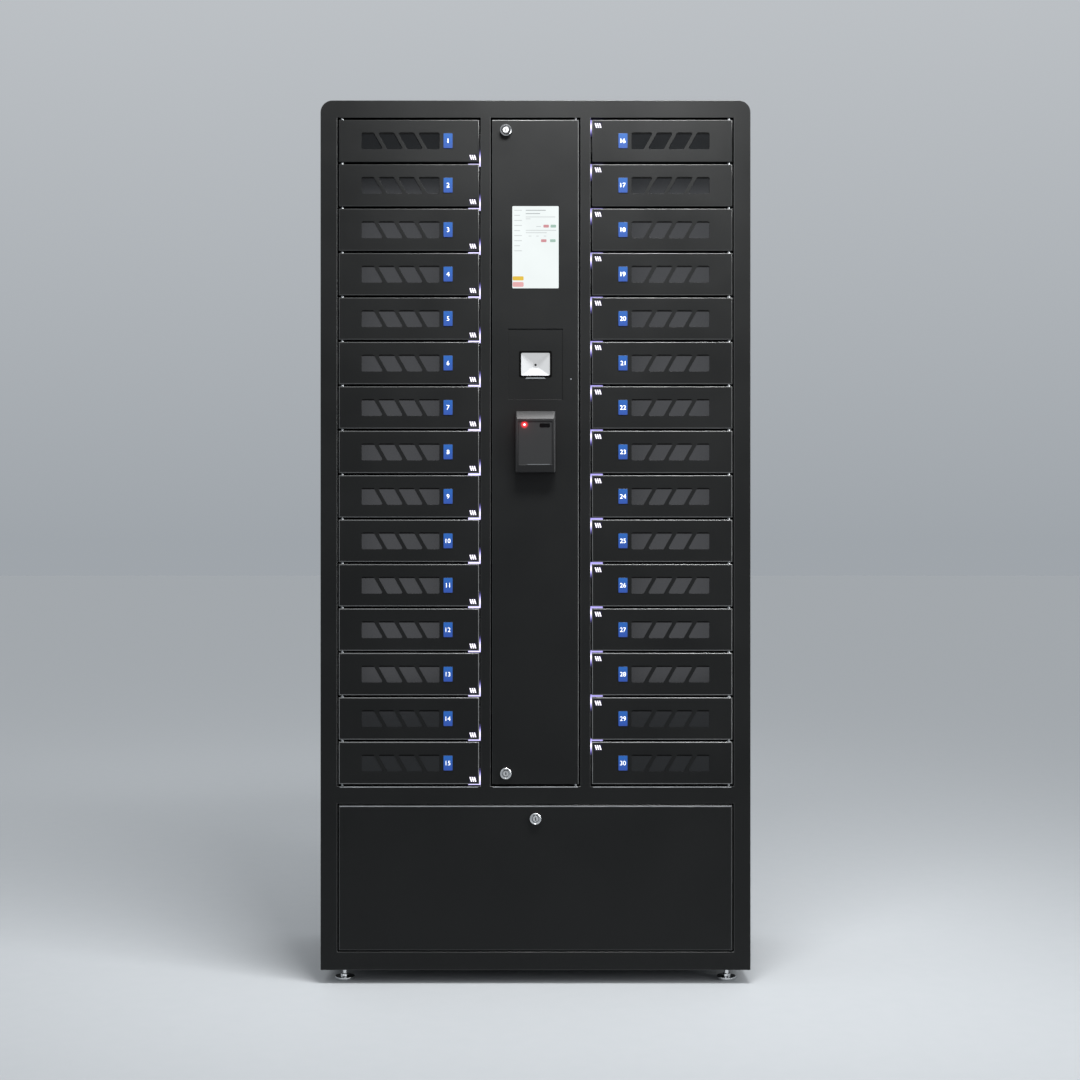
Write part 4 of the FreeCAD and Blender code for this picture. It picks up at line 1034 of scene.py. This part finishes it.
# The lip is flat; its pale grey is a painted highlight where it would catch the light from above.
piece("scanner_lip", lip_mesh, "centre_leaf", "white_plastic", grey_abs)
RIVET_ASIDE = 74 * MM
RIVET_DROP = 31.6 * MM
rivet_mesh = turned("rivet", RIVET, [(RIVET_ASIDE, front_plane, scan_z - RIVET_DROP)])
piece("bracket_rivet", rivet_mesh, "centre_leaf", "zinc_steel", grey_abs)
print("scanner middle", round(scan_z, 4))

# %% [markdown]
# ## Reader details
# The reader has a small blank window in the upper right of its sunk panel, and a pale grey sill at the foot
# of the panel, a painted highlight on the panel's lower edge. Both stand on the panel's floor, a millimetre
# behind the front of the case.

# %% Reader details
PANEL_DEPTH = 1 * MM
BLANK_PLACE = (19.5 * MM, reader_low.z + 97.3 * MM)
BLANK_SIZE = (21.6 * MM, 8.4 * MM, 2 * MM)
BLANK_WALL = 0.25 * MM
SILL_PLACE = (6.4 * MM, reader_low.z + 16.1 * MM)
SILL_SIZE = (46 * MM, 1.3 * MM, 0.4 * MM)
SILL_WALL = 0.8 * MM
panel_floor = reader_front + PANEL_DEPTH
blank = [(round_box(*BLANK_PLACE, *BLANK_SIZE), panel_floor, panel_floor - BLANK_WALL, 0)]
sill = [(round_box(*SILL_PLACE, *SILL_SIZE), panel_floor, panel_floor - SILL_WALL, 0)]
piece("reader_blank_window", prisms("blank", blank), "centre_leaf", "black_plastic", touch_glass)
# The sill's pale grey is a painted highlight on the panel's lower edge.
piece("reader_sill_painted_highlight", prisms("sill", sill), "centre_leaf", "reader_plastic", grey_abs)
print("reader panel at", round(panel_floor, 4))

# %% [markdown]
# ## Highlight strips
# Thin pale strips lie on the top edge of the flap, where it is pulled open, and on the lower rims of the
# openings where the lowest doors close. They are painted highlights: the bright lines where these upward
# edges catch the light.

# %% Highlight strips
highlight_grey = plated("painted_highlight_grey", "#a9abad", "#d2d4d6", 0.4, 0.6, 25 * MM)
HIGHLIGHT_TALL = 1.5 * MM
HIGHLIGHT_OUT = 0.05 * MM
SIDE_GAP = 2 * MM


def rubbed_edge(name, node, z, body):
    """Thin pale strip as wide as a node, centred on a height of the front: a painted highlight."""
    low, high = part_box(node)
    left, right = low.x + SIDE_GAP, high.x - SIDE_GAP
    outline = round_box((left + right) / 2, z, right - left, HIGHLIGHT_TALL, HIGHLIGHT_TALL / 3)
    strip = prisms("highlight_strip_mesh", [(outline, front_plane + HIGHLIGHT_OUT, front_plane - HIGHLIGHT_OUT, 0)])
    piece(name, strip, body, "black_powder_coat", highlight_grey)


FLAP_HIGHLIGHT_BELOW = 3.1 * MM
GAP_BELOW = 4.5 * MM
RIM_ROUND = 0.9 * MM
flap_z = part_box("service_flap")[1].z - FLAP_HIGHLIGHT_BELOW
rubbed_edge("flap_painted_highlight", "service_flap", flap_z, "flap_leaf")
for node in (left_doors[-1], "centre_door", door_names[-1]):
    sill_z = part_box(node)[0].z - GAP_BELOW - HIGHLIGHT_TALL / 2 - RIM_ROUND
    rubbed_edge(f"{node}_sill_painted_highlight", node, sill_z, "cabinet")

# %% [markdown]
# ## Charging ports
# Nothing inside shows at rest from the front, but doors open and the part is seen from all sides. Each
# charging outlet gets two metal-lined ports, a wide one and a narrow one, sized as shares of the outlet.

# %% Charging ports
PORTS = ((-0.22, 0.3, 0.3), (0.22, 0.24, 0.22))
PORT_WALL = 0.4 * MM
ports = []
for _, low, high in solids("charging_sockets"):
    size = high - low
    middle = (low + high) / 2
    for side, width, tall in PORTS:
        height = tall * size.z
        outline = round_box(middle.x + side * size.x, middle.z, width * size.x, height, height / 3)
        ports.append((outline, low.y, low.y - PORT_WALL, 0))
piece("charging_ports", prisms("ports", ports), "cabinet", "zinc_steel", zinc)
print("ports", len(ports))

# %% [markdown]
# ## Supplies and controller
# The power supplies get a row of vent slots, and the controller a row of pale connectors. Most of their sizes
# are shares of the housing that they sit on.

# %% Supplies and controller
SUPPLY_SLOTS = 7
SLOT_WALL = 0.3 * MM
CONNECTORS = 8
CONNECTOR_RADIUS = 1 * MM
CONNECTOR_OUT = 3 * MM
slots = []
for _, low, high in solids("power_supplies"):
    size = high - low
    for step in range(1, SUPPLY_SLOTS + 1):
        x = low.x + size.x * step / (SUPPLY_SLOTS + 1)
        outline = round_box(x, (low.z + high.z) / 2, size.x * 0.05, size.z * 0.6, size.x * 0.02)
        slots.append((outline, low.y, low.y - SLOT_WALL, 0))
piece("supply_vents", prisms("slots", slots), "cabinet", "black_plastic", black_abs)
low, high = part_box("controller_unit")
size = high - low
sockets = []
for step in range(1, CONNECTORS + 1):
    x = low.x + size.x * step / (CONNECTORS + 1)
    outline = round_box(x, low.z + size.z * 0.25, size.x * 0.08, size.z * 0.2, CONNECTOR_RADIUS)
    sockets.append((outline, low.y, low.y - CONNECTOR_OUT, 0))
piece("controller_connectors", prisms("plugs", sockets), "cabinet", "white_plastic", grey_abs)
print("supply slots", len(slots), "connectors", len(sockets))

# %% [markdown]
# ## Back rivets
# The back panel is riveted along its rim: nine rivets down each side, and three more along the top and along
# the foot.

# %% Back rivets
back_low, back_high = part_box("back_panel")
BACK_RIVET = [(0, -0.05), (3.2, -0.05), (3.0, 0.5), (2.0, 1.1), (0, 1.4)]
RIM_INSET = 14 * MM
CORNER_CLEAR = 60 * MM
RIVET_ROWS = 9
RIVET_STEPS = 4
rivets = []
tall = back_high.z - back_low.z - 2 * CORNER_CLEAR
wide = back_high.x - back_low.x - 2 * RIM_INSET
for row in range(RIVET_ROWS):
    z = back_low.z + CORNER_CLEAR + tall * row / (RIVET_ROWS - 1)
    rivets += [(back_low.x + RIM_INSET, back_high.y, z), (back_high.x - RIM_INSET, back_high.y, z)]
for step in range(1, RIVET_STEPS):
    x = back_low.x + RIM_INSET + wide * step / RIVET_STEPS
    rivets += [(x, back_high.y, back_low.z + RIM_INSET), (x, back_high.y, back_high.z - RIM_INSET)]
piece("back_rivets", turned("rivets", BACK_RIVET, rivets), "cabinet", "zinc_steel", zinc)
print("back rivets", len(rivets))

# %% [markdown]
# ## Floor and room
# A pale matt floor and a pale room keep the picture plain. The room is a ramp of greys by height, darker at
# the horizon than overhead, so that the far floor and the room come close in tone.

# %% Floor
FLOOR_HALF = 40.0
floor_mesh = bpy.data.meshes.new("studio_floor")
floor_mesh.from_pydata(
    [(-FLOOR_HALF, -FLOOR_HALF, 0), (FLOOR_HALF, -FLOOR_HALF, 0), (FLOOR_HALF, FLOOR_HALF, 0),
     (-FLOOR_HALF, FLOOR_HALF, 0)], [], [(0, 1, 2, 3)])
floor_paint = moulded("matt_pale_floor_paint", "#b2b6b9", "#b6b9bc", 0.9, texture=6 * MM)
floor_mesh.materials.append(floor_paint)
floor = bpy.data.objects.new("studio_floor", floor_mesh)
bpy.context.scene.collection.objects.link(floor)
print("floor half width", FLOOR_HALF)

# %% Room
ROOM_LIGHT = 1.35
world = bpy.data.worlds.new("pale_room")
world.use_nodes = True
bpy.context.scene.world = world
sky = world.node_tree
away = add(sky, "ShaderNodeTexCoord").outputs["Generated"]
height = add(sky, "ShaderNodeSeparateXYZ", {"Vector": away}).outputs["Z"]
tint = add(sky, "ShaderNodeValToRGB", {"Fac": height})
tint.color_ramp.elements[0].color = linear("#8b9095")
tint.color_ramp.elements[1].color = linear("#dcdee0")
tint.color_ramp.elements[1].position = 0.9
tint.color_ramp.elements.new(0.6).color = linear("#b9bcbf")
sky.links.new(tint.outputs["Color"], sky.nodes["Background"].inputs["Color"])
sky.nodes["Background"].inputs["Strength"].default_value = ROOM_LIGHT
print("room light", ROOM_LIGHT)

# %% [markdown]
# ## Cards
# Two white strips behind the camera give the glossy panes something to mirror, and a dark board behind them
# keeps the satin paint and the top rows dark. The camera sees none of them.

# %% Cards
def card(name, x, y, low, high, half, finish):
    """Upright board that only reflections and light see."""
    mesh = bpy.data.meshes.new(name)
    mesh.from_pydata([(x - half, y, low), (x + half, y, low), (x + half, y, high), (x - half, y, high)],
                     [], [(3, 2, 1, 0)])
    mesh.materials.append(finish)
    board = bpy.data.objects.new(name, mesh)
    bpy.context.scene.collection.objects.link(board)
    board.visible_camera = False
    board.visible_shadow = False
    return board


card_white = lit("white_strip_card", "#f6f8ff", 1.6, 1.75, 1.0)
flag_black = moulded("black_flag_cloth", "#050505", "#070707", 0.9)
CARD_Y = -5.6
CARD_TOP = 2.78
STRIP_MIDDLE = 0.72
STRIP_HALF = 0.28
STRIP_FOOT = 0.1
for side in (-1, 1):
    card(f"strip_card_{side + 2}", side * STRIP_MIDDLE, CARD_Y, STRIP_FOOT, CARD_TOP, STRIP_HALF, card_white)
flag = card("dark_flag", x=0, y=CARD_Y - 0.05, low=0.02, high=5.2, half=3.4, finish=flag_black)
flag.visible_diffuse = False

# %% [markdown]
# ## Lights
# A gridded softbox hangs above, a little to the right: it grazes the front, so the upward edges shine and the
# front darkens towards the floor. A strip at the right draws the upright edges.

# %% Lights
def soft_light(name, place, target, width, depth, power, spread):
    """Softbox aimed at a target; the spread in degrees is that of its grid."""
    data = bpy.data.lights.new(name, "AREA")
    data.shape = "RECTANGLE"
    data.size = width
    data.size_y = depth
    data.energy = power
    data.spread = math.radians(spread)
    lamp = bpy.data.objects.new(name, data)
    lamp.location = place
    lamp.rotation_euler = (Vector(target) - Vector(place)).to_track_quat("-Z", "Y").to_euler()
    bpy.context.scene.collection.objects.link(lamp)
    lamp.visible_camera = False


soft_light("overhead_softbox", place=(0.3, -1.0, 2.75), target=(0.1, -0.22, 1.6),
           width=1.0, depth=0.4, power=27, spread=100)
soft_light("right_strip", place=(1.9, -1.3, 1.4), target=(0, -0.22, 1.0),
           width=0.4, depth=2.2, power=16, spread=130)

# %% [markdown]
# ## Camera
# The picture is taken level and square to the front, at about half the locker's height. The lens follows from
# the distance and from how wide a strip of the front plane the picture takes in.

# %% Camera
FRAME_WIDTH = 2.26
VIEW_DISTANCE = 3.5
CAMERA_ASIDE = 0.0094
CAMERA_HEIGHT = 0.930
SENSOR = 36.0
eye = bpy.data.cameras.new("camera")
eye.sensor_width = SENSOR
eye.lens = SENSOR * VIEW_DISTANCE / FRAME_WIDTH
camera = bpy.data.objects.new("camera", eye)
camera.location = (CAMERA_ASIDE, front_plane - VIEW_DISTANCE, CAMERA_HEIGHT)
camera.rotation_euler = (math.pi / 2, 0, 0)
bpy.context.scene.collection.objects.link(camera)
bpy.context.scene.camera = camera
bpy.context.scene.view_settings.view_transform = "Standard"
print("lens", round(eye.lens, 2), "mm")

# %% [markdown]
# ## Glow round the lamps
# A lens and the eye both spread the light of a small bright lamp. The glare node does that to the finished
# picture, only where it is brighter than white.

# %% Glare
scene = bpy.context.scene
scene.use_nodes = True
steps = scene.node_tree
steps.nodes.clear()
picture = add(steps, "CompositorNodeRLayers")
glare = add(steps, "CompositorNodeGlare", {
    "Image": picture.outputs["Image"], "Threshold": 1.2, "Strength": 0.5, "Size": 0.2,
}, glare_type="BLOOM")
add(steps, "CompositorNodeComposite", {"Image": glare.outputs["Image"]})
print("glare above", glare.inputs["Threshold"].default_value)
